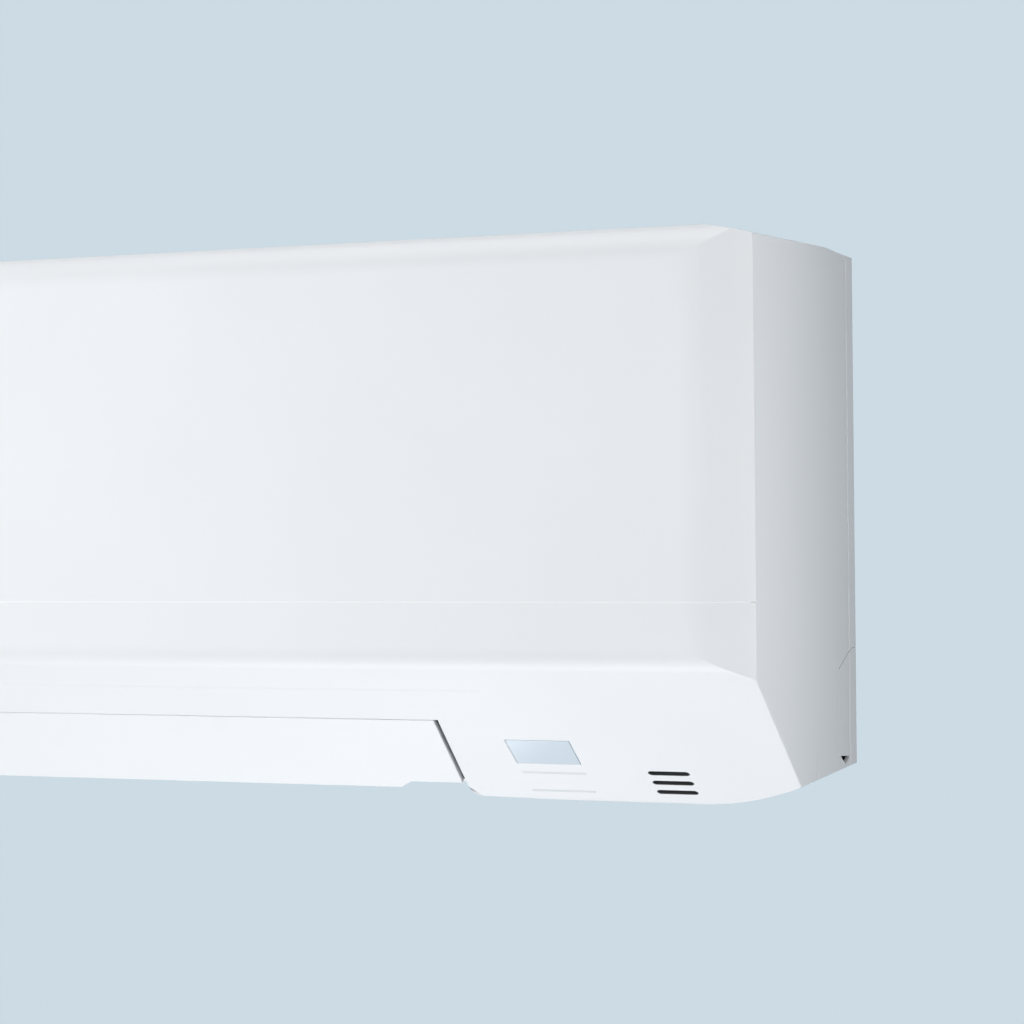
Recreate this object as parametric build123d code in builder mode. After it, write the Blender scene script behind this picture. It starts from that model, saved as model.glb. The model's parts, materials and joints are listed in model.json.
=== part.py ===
from build123d import *
from math import atan2, cos, sin
import os

os.makedirs("parts", exist_ok=True)

# Wall-mounted indoor unit of a split air conditioner, in millimetres.
# +X is right as seen from the room, +Y goes into the wall, +Z is up.
# Heights are counted from just above the underside. Each piece is lowered by
# screw_centre_height when it is saved, so the origin is the middle of the wall screws.

# ---- Casing ----
case_width = 799.0
case_height = 295.0
belly = 2.0                  # the underside's lowest line is this far below zero height
case_depth = 232.0
skin = 2.5

top_fall = 3.8               # the top is this much lower at the front than at the wall
slope_top = 78.0             # height of the bend between front and sloping underside
slope_depth = 113.0          # the slope comes down to zero height this far behind the front
lip_radius = 9.0
bend_radius = 15.0
roll_radius = 19.0
corner_run = 36.5            # width of the rounded front corners
corner_set_back = 11.5
side_bulge = 2.2             # sides are this much narrower at the front, each
waist_fall = 0.6             # and this much at the waist
waist_set_back = 104.4       # from the wall to the waist
rise_run = 62.5              # width over which the underside curves up to the side
side_bottom = 11.0           # height of the side's bottom edge
rim_run = 17.0               # beside the wall the sides stand out as a rim
rim_proud = 0.5
end_drop = 8.0               # the top's front ends are this much lower
end_drop_run = 55.0
end_drop_pitch = 0.064       # and the drop fades towards the wall at this rate

# ---- Front panel and its hinge ----
panel_seam = 107.8
panel_gap = 0.12
panel_skin = 3.0
panel_wrap = 11.7            # the panel's sides and top reach this far back
hinge_set_back = 18.0        # hinge axis behind the front and below the top
hinge_set_down = 6.7
hinge_inset = 69.5           # outer hinges from the casing's ends
hinge_pin_r = 2.2
hinge_clearance = 0.06
knuckle_r = 4.4
knuckle_width = 8.0
ear_width = 5.0
groove_width = 12.0          # the swing groove behind the panel's top edge
groove_depth = 8.5           # from the hinge axis to its floor

# ---- Air outlet ----
outlet_inset_left = 45.5     # from the casing's ends
outlet_inset_right = 182.5
outlet_top = 57.5            # distances down the slope from the bend
outlet_foot = 126.0          # where the leaning right end of the opening stops
outlet_flare = 1.9           # the opening's right end starts outside the duct's wall
outlet_lean = 5.1            # and leans in by this much down to its foot
outlet_raise = 6.0           # the underside is higher below the outlet
outlet_corner = 5.5          # rounding where it comes down again, right of the outlet
outlet_fall = 1.7            # and how much of the belly is left to fall over the next stretch
outlet_fall_run = 76.0
end_wall = 2.5
vane_gap = 0.8
vane_end_gap = 2.2
vane_bottom = 131.0          # lower edge of the flap
notch_inset = 35.4           # the flap's notch starts this far from the duct's right end
notch_s = 124.3
notch_slant = 1.2            # sideways run of the notch's end for each millimetre down
vane_pivot_s = 111.0
vane_pivot_depth = 8.0
vane_pin_r = 2.0
fit = 0.05                   # radial running clearance of small pins

# ---- Fan and motor ----
fan_set_back = 120.0         # from the front to the fan's axis
fan_height = 135.0
fan_r = 48.0
fan_gap_left = 4.0           # the fan ends this far inside the outlet's ends
fan_gap_right = 5.0
fan_blades = 35
fan_sections = 9
shaft_r = 4.0
motor_r = 36.0
motor_offset = 35.5          # from the outlet's right end
motor_length = 51.0
motor_neck_r = 11.0
mount_ring_r = 17.0
saddle = 6.0

# ---- Heat exchanger ----
coil_gap_left = 4.0          # inside the outlet's left end
coil_overrun = 5.0           # past its right end
coil_thickness = 25.0
tube_r = 3.5
tube_wall = 0.4
tube_pitch = 20.0
row_offset = 6.35
tube_stub = 4.0
end_plate = 1.5

# ---- Side-to-side vanes ----
air_vanes = 10
air_vane_axis = 50.0         # depth of their pivots behind the slope
link_axis = 38.5             # depth of the link rod's pins
air_pin_r = 2.0
link_pin_r = 1.5
link_play = 0.4

# ---- Filters ----
filter_head_room = 14.0      # below the casing's top
filter_foot = 14.2           # above the panel's seam
filter_frame = 3.0
mesh_thickness = 0.5

# ---- Mounting plate and pipes ----
plate_thickness = 1.2
plate_inset = 99.5           # from the casing's ends
plate_low = 76.0
plate_head_room = 19.0       # below the casing's top
screw_hole_r = 2.6
gas_r = 4.76
liquid_r = 3.18
gas_thread_r = 7.94
liquid_thread_r = 5.56
gas_end, liquid_end = -144.0, -170.0     # where the pipes turn back into the wall
union_tip = -2.0                         # the unions end just in front of the wall
union_hex = 11.0

half_width = case_width / 2
front_top = case_height - top_fall
underside_depth = case_depth - slope_depth
lip_depth = underside_depth - belly * slope_depth / slope_top
panel_back = case_depth - panel_wrap
hinge_depth = case_depth - hinge_set_back
hinge_height = front_top - hinge_set_down
hinge_stations = [(half_width - hinge_inset) * share for share in (-1, -1 / 3, 1 / 3, 1)]
groove_back = case_depth - hinge_set_back - groove_width
groove_floor = hinge_height - groove_depth
outlet_left = -half_width + outlet_inset_left
outlet_right = half_width - outlet_inset_right
foot_x = outlet_right + outlet_flare - outlet_lean
fan_depth = case_depth - fan_set_back
fan_left, fan_right = outlet_left + fan_gap_left, outlet_right - fan_gap_right
coil_left, coil_right = outlet_left + coil_gap_left, outlet_right + coil_overrun
motor_left = outlet_right + motor_offset
air_vane_pitch = (outlet_right - outlet_left - 1.0) / air_vanes
air_vane_first = (outlet_left + outlet_right - (air_vanes - 1) * air_vane_pitch) / 2
filter_top = case_height - filter_head_room
filter_bottom = panel_seam + filter_foot
plate_x = half_width - plate_inset
plate_high = case_height - plate_head_room
screw_spacing_x = 2 * (plate_x - 40)
screw_spacing_z = plate_high - plate_low - 50
screw_centre_height = plate_low + 14 + screw_spacing_z / 2
slope_angle = atan2(slope_top, slope_depth)
along = Vector(0, cos(slope_angle), -sin(slope_angle))
inward = Vector(0, sin(slope_angle), cos(slope_angle))
slope_start = Vector(0, -case_depth, slope_top)


def on_slope(s, depth, x=0.0):
    # The point s down the slope from the bend and depth behind its face.
    return slope_start + along * s + inward * depth + Vector(x, 0, 0)


def flat(points):
    # Slope points as (Y, Z) pairs for a sketch on Plane.YZ.
    return [(on_slope(s, depth).Y, on_slope(s, depth).Z) for s, depth in points]


def across_slope(s):
    # A plane square to the slope: its normal runs down the slope.
    return Plane(origin=on_slope(s, 0), x_dir=(1, 0, 0), z_dir=along)


def slope_face(depth):
    # The slope's own plane, looking out of the casing; local y runs up the slope.
    return Plane(origin=on_slope(0, depth), x_dir=(1, 0, 0), z_dir=inward * -1)


def outlet_edge(s):
    # X of the opening's leaning right end, at the distance s down the slope.
    return outlet_right + outlet_flare - outlet_lean * (s - outlet_top) / (outlet_foot - outlet_top)


def save(builder, name):
    builder.part.label = name
    piece = builder.part.moved(Location((0, 0, -screw_centre_height)))
    piece.label = name
    export_step(piece, f"parts/{name}.step")


def prism(points, x_from, x_to, mode=Mode.ADD):
    # A solid with a polygonal section in (Y, Z), from x_from to x_to.
    with BuildSketch(Plane.YZ.offset(x_from)) as section:
        Polygon(*points, align=None)
    extrude(section.sketch, amount=x_to - x_from, mode=mode)


def block(x, y, z, mode=Mode.ADD):
    # A box given by its three ranges.
    with BuildSketch(Plane.XY.offset(z[0])) as section:
        with Locations(((x[0] + x[1]) / 2, (y[0] + y[1]) / 2)):
            Rectangle(x[1] - x[0], y[1] - y[0])
    extrude(section.sketch, amount=z[1] - z[0], mode=mode)


def rod_x(x_from, x_to, y, z, radius, mode=Mode.ADD):
    # A cylinder along X.
    with BuildSketch(Plane.YZ.offset(x_from)) as section:
        with Locations((y, z)):
            Circle(radius)
    extrude(section.sketch, amount=x_to - x_from, mode=mode)


def rod_y(x, y_from, y_to, z, radius, mode=Mode.ADD):
    # A cylinder along Y, growing from y_from towards the wall.
    with BuildSketch(Plane.XZ.offset(-y_to)) as section:
        with Locations((x, z)):
            Circle(radius)
    extrude(section.sketch, amount=y_to - y_from, mode=mode)


def wall(points, thickness, x_from, x_to, side=Side.LEFT, bend=0.0, mode=Mode.ADD):
    # A bent sheet: an open line in (Y, Z) thickened to one side.
    with BuildSketch(Plane.YZ.offset(x_from)) as section:
        with BuildLine():
            if bend:
                FilletPolyline(*points, radius=bend)
            else:
                Polyline(*points)
            offset(amount=thickness, side=side)
        make_face()
    extrude(section.sketch, amount=x_to - x_from, mode=mode)


def envelope(inset, overrun=0.0):
    # The casing's outer shape, shrunk by inset; overrun carries it past the wall plane.
    rear = overrun + inset
    rear_top = case_height + rear * (case_height - front_top) / case_depth
    corners = (
        ((-lip_depth, -belly), lip_radius),
        ((-case_depth, slope_top), bend_radius),
        ((-case_depth, front_top), roll_radius),
    )
    with BuildPart() as body:
        with BuildSketch(Plane.YZ.offset(-half_width - 1)) as profile:
            Polygon((rear, -belly), *[point for point, _ in corners], (rear, rear_top), align=None)
            for point, radius in corners:
                fillet(profile.vertices().sort_by_distance((*point, 0))[0], radius)
            if inset:
                offset(amount=-inset, kind=Kind.INTERSECTION)
        extrude(amount=2 * half_width + 2)
        with BuildSketch(Plane.XY.offset(-20)):
            with BuildLine():
                front_x = half_width - corner_run
                edge = (half_width - side_bulge, -case_depth + corner_set_back)
                Line((0, -case_depth), (front_x, -case_depth))
                TangentArc((front_x, -case_depth), edge, tangent=(1, 0))
                waist = (half_width - waist_fall, -waist_set_back)
                rim_edge = (half_width - rim_proud, -rim_run)
                ThreePointArc(edge, waist, rim_edge)
                Polyline(
                    rim_edge, (half_width, -rim_run + rim_proud), (half_width, rear + 20), (0, rear + 20),
                )
                mirror(about=Plane.YZ)
            make_face()
            if inset:
                offset(amount=-inset, kind=Kind.INTERSECTION)
        extrude(amount=case_height + 60, mode=Mode.INTERSECT)
        with BuildSketch(Plane.XZ.offset(-rear - 20)):
            with BuildLine():
                # Raised below the outlet, down right of it, and up again to the side.
                belly_start = (half_width - rise_run, -belly)
                FilletPolyline(
                    (foot_x, outlet_raise), (foot_x, outlet_fall - belly),
                    (foot_x + outlet_fall_run, -belly), belly_start, radius=outlet_corner,
                )
                right_foot, left_foot = (half_width, side_bottom), (-half_width, side_bottom)
                TangentArc(belly_start, right_foot, tangent=(1, 0))
                above = 2 * case_height
                Polyline(right_foot, (half_width, above), (-half_width, above), left_foot)
                TangentArc((outlet_left, outlet_raise), left_foot, tangent=(-1, 0))
                Line((outlet_left, outlet_raise), (foot_x, outlet_raise))
            make_face()
            if inset:
                offset(amount=-inset, kind=Kind.INTERSECTION)
        extrude(amount=case_depth + rear + 40, mode=Mode.INTERSECT)
        with BuildSketch(Plane.XZ.offset(case_depth)):
            with BuildLine():
                crown = front_top
                shoulder = (half_width, crown - end_drop)
                Line((0, crown), (half_width - end_drop_run, crown))
                TangentArc((half_width - end_drop_run, crown), shoulder, tangent=(1, 0))
                Polyline(shoulder, (half_width, -case_height), (0, -case_height))
                mirror(about=Plane.YZ)
            make_face()
            if inset:
                offset(amount=-inset, kind=Kind.INTERSECTION)
        lean = Vector(0, 1, end_drop_pitch).normalized()
        extrude(amount=case_depth + rear + 40, dir=lean, mode=Mode.INTERSECT)
    return body.part


outer = envelope(0)
cavity = envelope(skin, overrun=10)
inside = envelope(skin / 2, overrun=10)

# ---- Front casing ----
frame_back = panel_back - 0.3 - skin
pan_front = frame_back - 2.0
filter_front = frame_back - 0.6
band_top = panel_seam - panel_gap / 2
window_bottom = filter_bottom - 4
window_top = groove_floor - 18
intake_left, intake_right = coil_left + 5, coil_right - 7
intake_front, intake_rear = case_depth - 37, 34.0
filter_split = (intake_left + intake_right) / 2 - 1
slot_across, slot_length, slot_rib = 8.0, 51.5, 5.0

line_width = 0.6
slope_line_s, slope_line_depth = 27.4, 0.15
side_line_set_back, side_line_top, side_line_depth = 101.1, 46.5, 0.25

corner_top = 76.2
corner_depth = 43.0
corner_width = 37.5
corner_shoulder = (11.7, 0.3)       # depth and drop where the cover's top edge bends down
corner_drop = 9.8                   # and the drop where it meets the front edge
below = -belly - 4
corner_line = [
    (8, corner_top), (-corner_shoulder[0], corner_top - corner_shoulder[1]),
    (-corner_depth, corner_top - corner_drop), (-corner_depth, below), (8, below),
]

window_x, window_width = half_width - 132, 35.0    # signal window: middle and width
window_s, window_s_end = 76.5, 101.0
guide_s = (110.5, 130.0)
guide_width = 36.0
vent_x, vent_width = half_width - 68.7, 22.5
vent_s = (108.0, 118.0, 128.0)
vent_height = 4.5

button_x, button_z = half_width - 99.5, panel_seam + 16.2
button_r = 4.0
button_gap = 0.3
button_travel = 1.5

screw_x = (outlet_left + 54, filter_split, outlet_right - 49)
screw_z = panel_seam + 5.7
screw_r = 1.8

with BuildPart() as front_frame:
    frame_section = [
        (-case_depth, band_top), (-frame_back - skin, band_top),
        (-frame_back - skin, groove_floor), (-groove_back, groove_floor),
        (-groove_back, case_height), (-groove_back + skin, case_height),
        (-groove_back + skin, groove_floor - skin), (-frame_back, groove_floor - skin),
        (-frame_back, band_top - skin), (-case_depth, band_top - skin),
    ]
    prism(frame_section, -half_width, half_width)
    add(inside, mode=Mode.INTERSECT)

with BuildPart() as front_grille:
    add(outer)
    add(cavity, mode=Mode.SUBTRACT)
    front_rim = -frame_back - skin
    # Everything ahead of the frame above the band belongs to the front panel.
    block((-500, 500), (-300, front_rim), (band_top, 400), mode=Mode.SUBTRACT)
    clear_x = half_width - 6.0
    block((-clear_x, clear_x), (front_rim - 1, -groove_back), (groove_floor, 400), mode=Mode.SUBTRACT)
    add(front_frame.part)
    # Filter windows behind the panel.
    for x in ((intake_left, filter_split - 3), (filter_split + 3, intake_right)):
        block(x, (front_rim - 5, -frame_back + 5), (window_bottom, window_top), mode=Mode.SUBTRACT)
    # Ledges that the filters stand on.
    for x in (intake_left + 10, filter_split - 34, filter_split + 4, intake_right - 40):
        block((x, x + 30), (-frame_back - 0.5, -filter_front + filter_frame),
              (window_bottom - 2, filter_bottom - 0.1))
    # Air intake on top: rows of long slots.
    columns = int((intake_right - intake_left + slot_rib) // (slot_length + slot_rib))
    rows = int((intake_front - intake_rear + slot_rib) // (slot_across + slot_rib))
    with BuildSketch(Plane.XY.offset(case_height - 20)):
        middle = ((intake_left + intake_right) / 2, -(intake_front + intake_rear) / 2)
        with Locations(middle):
            with GridLocations(slot_length + slot_rib, slot_across + slot_rib, columns, rows):
                Rectangle(slot_length, slot_across)
    extrude(amount=40, mode=Mode.SUBTRACT)
    # Air outlet in the slope, open through the lip below it.
    with BuildSketch(slope_face(-5)):
        Polygon(
            (outlet_left, -outlet_top), (outlet_edge(outlet_top), -outlet_top),
            (foot_x, -outlet_foot), (foot_x, -outlet_foot - 30), (outlet_left, -outlet_foot - 30),
            align=None,
        )
    extrude(amount=-14, mode=Mode.SUBTRACT)
    # Signal window, light slots and sensor vents.
    with BuildSketch(slope_face(-5)):
        with Locations((window_x, -(window_s + window_s_end) / 2)):
            Rectangle(window_width, window_s_end - window_s)
        for s in guide_s:
            with Locations((window_x, -s)):
                SlotOverall(guide_width, 2.0)
        for s in vent_s:
            with Locations((vent_x, -s)):
                SlotOverall(vent_width, vent_height)
    extrude(amount=-12, mode=Mode.SUBTRACT)
    # Shallow line across the slope above the outlet, and one up each side from the bottom edge.
    line_end = window_x - 15.5
    with BuildSketch(slope_face(-1)):
        with Locations(((outlet_left + line_end) / 2, -slope_line_s)):
            Rectangle(line_end - outlet_left, line_width)
    extrude(amount=-1 - slope_line_depth, mode=Mode.SUBTRACT)
    line_x = half_width - waist_fall - side_line_depth
    for x_range in ((line_x, half_width + 5), (-half_width - 5, -line_x)):
        line_y = (-side_line_set_back, -side_line_set_back + line_width)
        block(x_range, line_y, (-belly - 5, side_line_top), mode=Mode.SUBTRACT)
    # Rear lower corners are cut away for the corner covers.
    for x in ((-half_width - 5, -half_width + corner_width), (half_width - corner_width, half_width + 5)):
        prism(corner_line, *x, mode=Mode.SUBTRACT)
    # Posts for the receiver board.
    with BuildSketch(slope_face(skin - 0.5)):
        for s in (73.5, 133.0):
            with Locations((window_x - 21, -s), (window_x + 21, -s)):
                Circle(1.6)
    extrude(amount=-(12 - skin + 0.5))
    # Hinge knuckles in the groove.
    for x in hinge_stations:
        near = x - ear_width / 2 - 0.4
        stem = ((near - knuckle_width, near), (-hinge_depth - 3.2, -hinge_depth + 3.2))
        block(*stem, (groove_floor - 1, hinge_height))
        rod_x(near - knuckle_width, near, -hinge_depth, hinge_height, knuckle_r)
        rod_x(near - knuckle_width - 1, near + 1, -hinge_depth, hinge_height,
              hinge_pin_r + hinge_clearance, mode=Mode.SUBTRACT)
    # Holes for the casing screws and the emergency button.
    for x in screw_x:
        rod_y(x, front_rim - 1, -frame_back + 1, screw_z, screw_r + 0.3, mode=Mode.SUBTRACT)
    rod_y(button_x, front_rim - 1, -frame_back + 1, button_z, button_r + button_gap, mode=Mode.SUBTRACT)
save(front_grille, "front_grille")

# ---- Corner covers ----
for name, side in (("corner_cover_left", -1), ("corner_cover_right", 1)):
    with BuildPart() as corner_cover:
        add(outer)
        add(cavity, mode=Mode.SUBTRACT)
        seam = 0.2
        wide_seam = 0.9
        front_edge = -corner_depth + seam
        shape = [
            (0, corner_top - seam), (-corner_shoulder[0], corner_top - corner_shoulder[1] - seam),
            (front_edge, corner_top - corner_drop - wide_seam), (front_edge, below), (0, below),
        ]
        near, far = half_width - corner_width + seam, half_width + 5
        x_range = (near, far) if side > 0 else (-far, -near)
        prism(shape, *x_range, mode=Mode.INTERSECT)
        # Three-cornered drip notch through the side.
        drip = [(-40.5, side_bottom + 7.2), (-16.5, side_bottom + 5.2), (-28.5, side_bottom + 1.6)]
        prism(drip, side * half_width - 4, side * half_width + 4, mode=Mode.SUBTRACT)
    save(corner_cover, name)

# ---- Front panel ----
panel_core = envelope(panel_skin, overrun=10)
with BuildPart() as front_panel:
    add(outer)
    add(panel_core, mode=Mode.SUBTRACT)
    panel_bottom = panel_seam + panel_gap / 2
    block((-500, 500), (-panel_back, 300), (-50, 400), mode=Mode.SUBTRACT)
    block((-500, 500), (-400, 300), (-50, panel_bottom), mode=Mode.SUBTRACT)
    # Stiffening lip along the lower edge and two ribs behind the face.
    for z in (panel_bottom, front_top - 126.2, front_top - 66.2):
        lip_x = half_width - corner_run
        block((-lip_x, lip_x), (-case_depth + 1, -case_depth + 8), (z, z + 2))
    # Hinge ears with their pins.
    for x in hinge_stations:
        with BuildSketch(Plane.YZ.offset(x - ear_width / 2)):
            with Locations((-hinge_depth, hinge_height)):
                Circle(hinge_pin_r + 1.2)
            Polygon(
                (-hinge_depth, hinge_height + 3.3), (-hinge_depth - 10, hinge_height + 3.0),
                (-hinge_depth - 15.5, hinge_height - 12), (-hinge_depth - 13, hinge_height - 14),
                (-hinge_depth, hinge_height - 3.3), align=None,
            )
        extrude(amount=ear_width)
        pin_end = x - ear_width / 2 - 0.4 - knuckle_width + 0.5
        rod_x(pin_end, x, -hinge_depth, hinge_height, hinge_pin_r)
    add(outer, mode=Mode.INTERSECT)
save(front_panel, "front_panel")

# ---- Emergency button behind the panel, with its switch board ----
with BuildPart() as emergency_button:
    cap = -frame_back - skin - 2.3
    flange = -frame_back + 0.3
    rod_y(button_x, cap, flange + 0.2, button_z, button_r)
    rod_y(button_x, flange, flange + 1.2, button_z, button_r + 1.6)
    rod_y(button_x, flange + 1, flange + 3.0, button_z, 1.5)
save(emergency_button, "emergency_button")

switch_back = -frame_back + 10.0
with BuildPart() as switch_board:
    block((button_x - 14, button_x + 14), (switch_back, switch_back + 1.6), (button_z - 9, button_z + 9))
    stem_end = flange + 3.0 + button_travel + 0.3
    block((button_x - 3, button_x + 3), (stem_end, switch_back), (button_z - 3, button_z + 3))
    # Standoffs reach the back of the front frame.
    for x in (button_x - 11, button_x + 11):
        rod_y(x, -frame_back, switch_back, button_z, 1.8)
save(switch_board, "switch_board")

with BuildPart() as casing_screws:
    for x in screw_x:
        head = -frame_back - skin
        rod_y(x, head - 1.8, head, screw_z, 3.6)
        rod_y(x, head - 1.8, -pan_front + 3.4, screw_z, screw_r)
save(casing_screws, "casing_screws")

# ---- Horizontal vane (the flap over the outlet) and its motor ----
vane_left = outlet_left + 2.0
vane_reach = outlet_edge(outlet_top) - vane_end_gap
vane_right = outlet_right - 5.0      # the right lug's end, inside the flap's leaning edge
vane_top = outlet_top + vane_gap
notch_x = outlet_right - notch_inset
past_vane = vane_bottom + 10
lug_r = 4.2
with BuildPart() as horizontal_vane:
    with BuildSketch(Plane.YZ.offset(vane_left)):
        with BuildLine():
            a, b, c, d, m = flat([
                (vane_top, 0), (vane_bottom, 0), (vane_bottom, 2.0), (vane_top, 2.0),
                ((vane_top + vane_bottom) / 2, 5.5),
            ])
            Polyline(d, a, b, c)
            ThreePointArc(c, m, d)
        make_face()
    extrude(amount=vane_reach - vane_left)
    # Its right end leans with the opening, and the lower edge is notched there.
    with BuildSketch(slope_face(-5)):
        Polygon(
            (vane_reach, -outlet_top), (outlet_edge(past_vane) - vane_end_gap, -past_vane),
            (vane_reach + 10, -past_vane), (vane_reach + 10, -outlet_top), align=None,
        )
        Polygon(
            (notch_x, -notch_s), (notch_x - notch_slant * (past_vane - notch_s), -past_vane),
            (vane_reach, -past_vane), (vane_reach, -notch_s), align=None,
        )
    extrude(amount=-12, mode=Mode.SUBTRACT)
    pivot = on_slope(vane_pivot_s, vane_pivot_depth)
    for x in (vane_left, vane_right - 5.0):
        lug = flat([
            (vane_pivot_s - 9, 3.5), (vane_pivot_s + 7, 3.0),
            (vane_pivot_s + 4, vane_pivot_depth), (vane_pivot_s - 4, vane_pivot_depth),
        ])
        prism(lug, x, x + 5.0)
        rod_x(x, x + 5.0, pivot.Y, pivot.Z, lug_r)
    rod_x(outlet_left - end_wall - 1, vane_left + 1, pivot.Y, pivot.Z, vane_pin_r)
    rod_x(vane_right - 4.5, vane_right + 1, pivot.Y, pivot.Z, vane_pin_r, mode=Mode.SUBTRACT)
save(horizontal_vane, "horizontal_vane")

with BuildPart() as vane_shaft:
    rod_x(vane_right - 4.5, outlet_right + end_wall + 8, pivot.Y, pivot.Z, vane_pin_r)
save(vane_shaft, "vane_shaft")

vane_motor_r = 12.0
vane_motor_length = 17.5
with BuildPart() as vane_motor:
    start = outlet_right + end_wall
    body = on_slope(vane_pivot_s, skin + 0.5 + vane_motor_r)
    rod_x(start, start + vane_motor_length, body.Y, body.Z, vane_motor_r)
    # Ears along the slope take its two screws.
    ears = flat([
        (vane_pivot_s - 19, 11), (vane_pivot_s + 17, 11),
        (vane_pivot_s + 17, 19), (vane_pivot_s - 19, 19),
    ])
    prism(ears, start, start + 1.0)
    rod_x(start, start + 9, pivot.Y, pivot.Z, vane_pin_r + fit, mode=Mode.SUBTRACT)
save(vane_motor, "vane_motor")

# ---- Outlet frame: duct front wall, drain pan, end walls, drain spigots ----
pan_floor = 88.0
pan_rim = screw_z - 1.5
tongue = (-fan_depth - 47, 106.0)
pan_left, pan_right = outlet_left - 30, outlet_right + 26
channel_left = (pan_left, pan_left + 18)
channel_right = (outlet_right + 7, pan_right)
spigot_y = -fan_depth + 12
spigot_r = 8.0
spigot_bore = 6.0
spigot_top = 79.0
spigot_end = 60.0
hose_seat = 14.0             # a hose goes on up to the collar
collar = 1.2
with BuildPart() as outlet_frame:
    front_foot = flat([(outlet_top - 2.0, skin + 1.3)])[0]
    wall([front_foot, tongue], 2.5, outlet_left - end_wall, outlet_right + end_wall, side=Side.LEFT)
    pan = [
        (tongue[0] - 2.2, tongue[1]), (tongue[0] - 6.0, pan_floor + 4),
        (-pan_front + 2.5, pan_floor), (-pan_front + 2.5, pan_rim),
    ]
    wall(pan, 2.5, pan_left, pan_right, side=Side.LEFT)
    # Closed ends of the pan.
    end_shape = [
        (-pan_front, pan_floor - 2.4), (tongue[0] - 6, pan_floor + 1.4),
        (tongue[0], tongue[1]), (-pan_front, pan_rim),
    ]
    for x in (pan_left, pan_right - 2.5):
        prism(end_shape, x, x + 2.5)
    # End walls of the duct.
    duct_end = flat([
        (outlet_top - 2.0, skin + 0.3), (124.4, skin + 0.3), (133.0, 9.0),
        (131.4, 34.0), (131.8, 62.0), (46.0, 62.0),
    ])
    for x in (outlet_left - end_wall, outlet_right):
        prism(duct_end, x, x + end_wall)
    # Water channels run back from both ends of the pan to the spigots.
    for x in (channel_left, channel_right):
        trough = [(tongue[0] - 6, pan_floor + 1.0), (spigot_y + 11, spigot_top), (spigot_y + 11, 96)]
        wall(trough, 2.5, *x, side=Side.LEFT)
        side_wall = [
            (tongue[0] - 4, pan_floor + 1.2), (spigot_y + 11, spigot_top - 0.2),
            (spigot_y + 11, 96), (tongue[0] - 1, 103),
        ]
        for edge in (x[0], x[1] - 2.0):
            prism(side_wall, edge, edge + 2.0)
    for x in (sum(channel_left) / 2, sum(channel_right) / 2):
        with BuildSketch(Plane.XY.offset(spigot_end)):
            with Locations((x, spigot_y)):
                Circle(spigot_r)
        extrude(amount=spigot_top - spigot_end)
        with BuildSketch(Plane.XY.offset(spigot_end + hose_seat)):
            with Locations((x, spigot_y)):
                Circle(spigot_r + collar)
        extrude(amount=spigot_top + 2.7 - spigot_end - hose_seat)
        with BuildSketch(Plane.XY.offset(spigot_end)):
            with Locations((x, spigot_y)):
                Circle(spigot_bore)
        extrude(amount=spigot_top + 12 - spigot_end, mode=Mode.SUBTRACT)
    # Bosses for the casing screws on the pan's front wall.
    for x in screw_x:
        rod_y(x, -frame_back, -pan_front + 5, screw_z, 4.5)
        rod_y(x, -frame_back - 1, -pan_front + 3.6, screw_z, screw_r, mode=Mode.SUBTRACT)
    # Pivot bosses of the side-to-side vanes on the duct's front wall.
    for index in range(air_vanes):
        x = air_vane_first + index * air_vane_pitch
        with BuildSketch(across_slope(45.5)):
            with Locations((x, -air_vane_axis)):
                Circle(4.2)
        extrude(amount=7.5)
        with BuildSketch(across_slope(40)):
            with Locations((x, -air_vane_axis)):
                Circle(air_pin_r + fit)
        extrude(amount=20, mode=Mode.SUBTRACT)
    rod_x(outlet_left - 4, outlet_left + 1, pivot.Y, pivot.Z, vane_pin_r + fit, mode=Mode.SUBTRACT)
    rod_x(outlet_right - 1, outlet_right + 4, pivot.Y, pivot.Z, vane_pin_r + 0.4, mode=Mode.SUBTRACT)
save(outlet_frame, "outlet_frame")

with BuildPart() as drain_plug:
    plug_x = sum(channel_left) / 2
    with BuildSketch(Plane.XY.offset(spigot_end - 3)):
        with Locations((plug_x, spigot_y)):
            Circle(spigot_r)
    extrude(amount=3)
    with BuildSketch(Plane.XY.offset(spigot_end)):
        with Locations((plug_x, spigot_y)):
            Circle(spigot_bore)
    extrude(amount=9)
save(drain_plug, "drain_plug")

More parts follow.
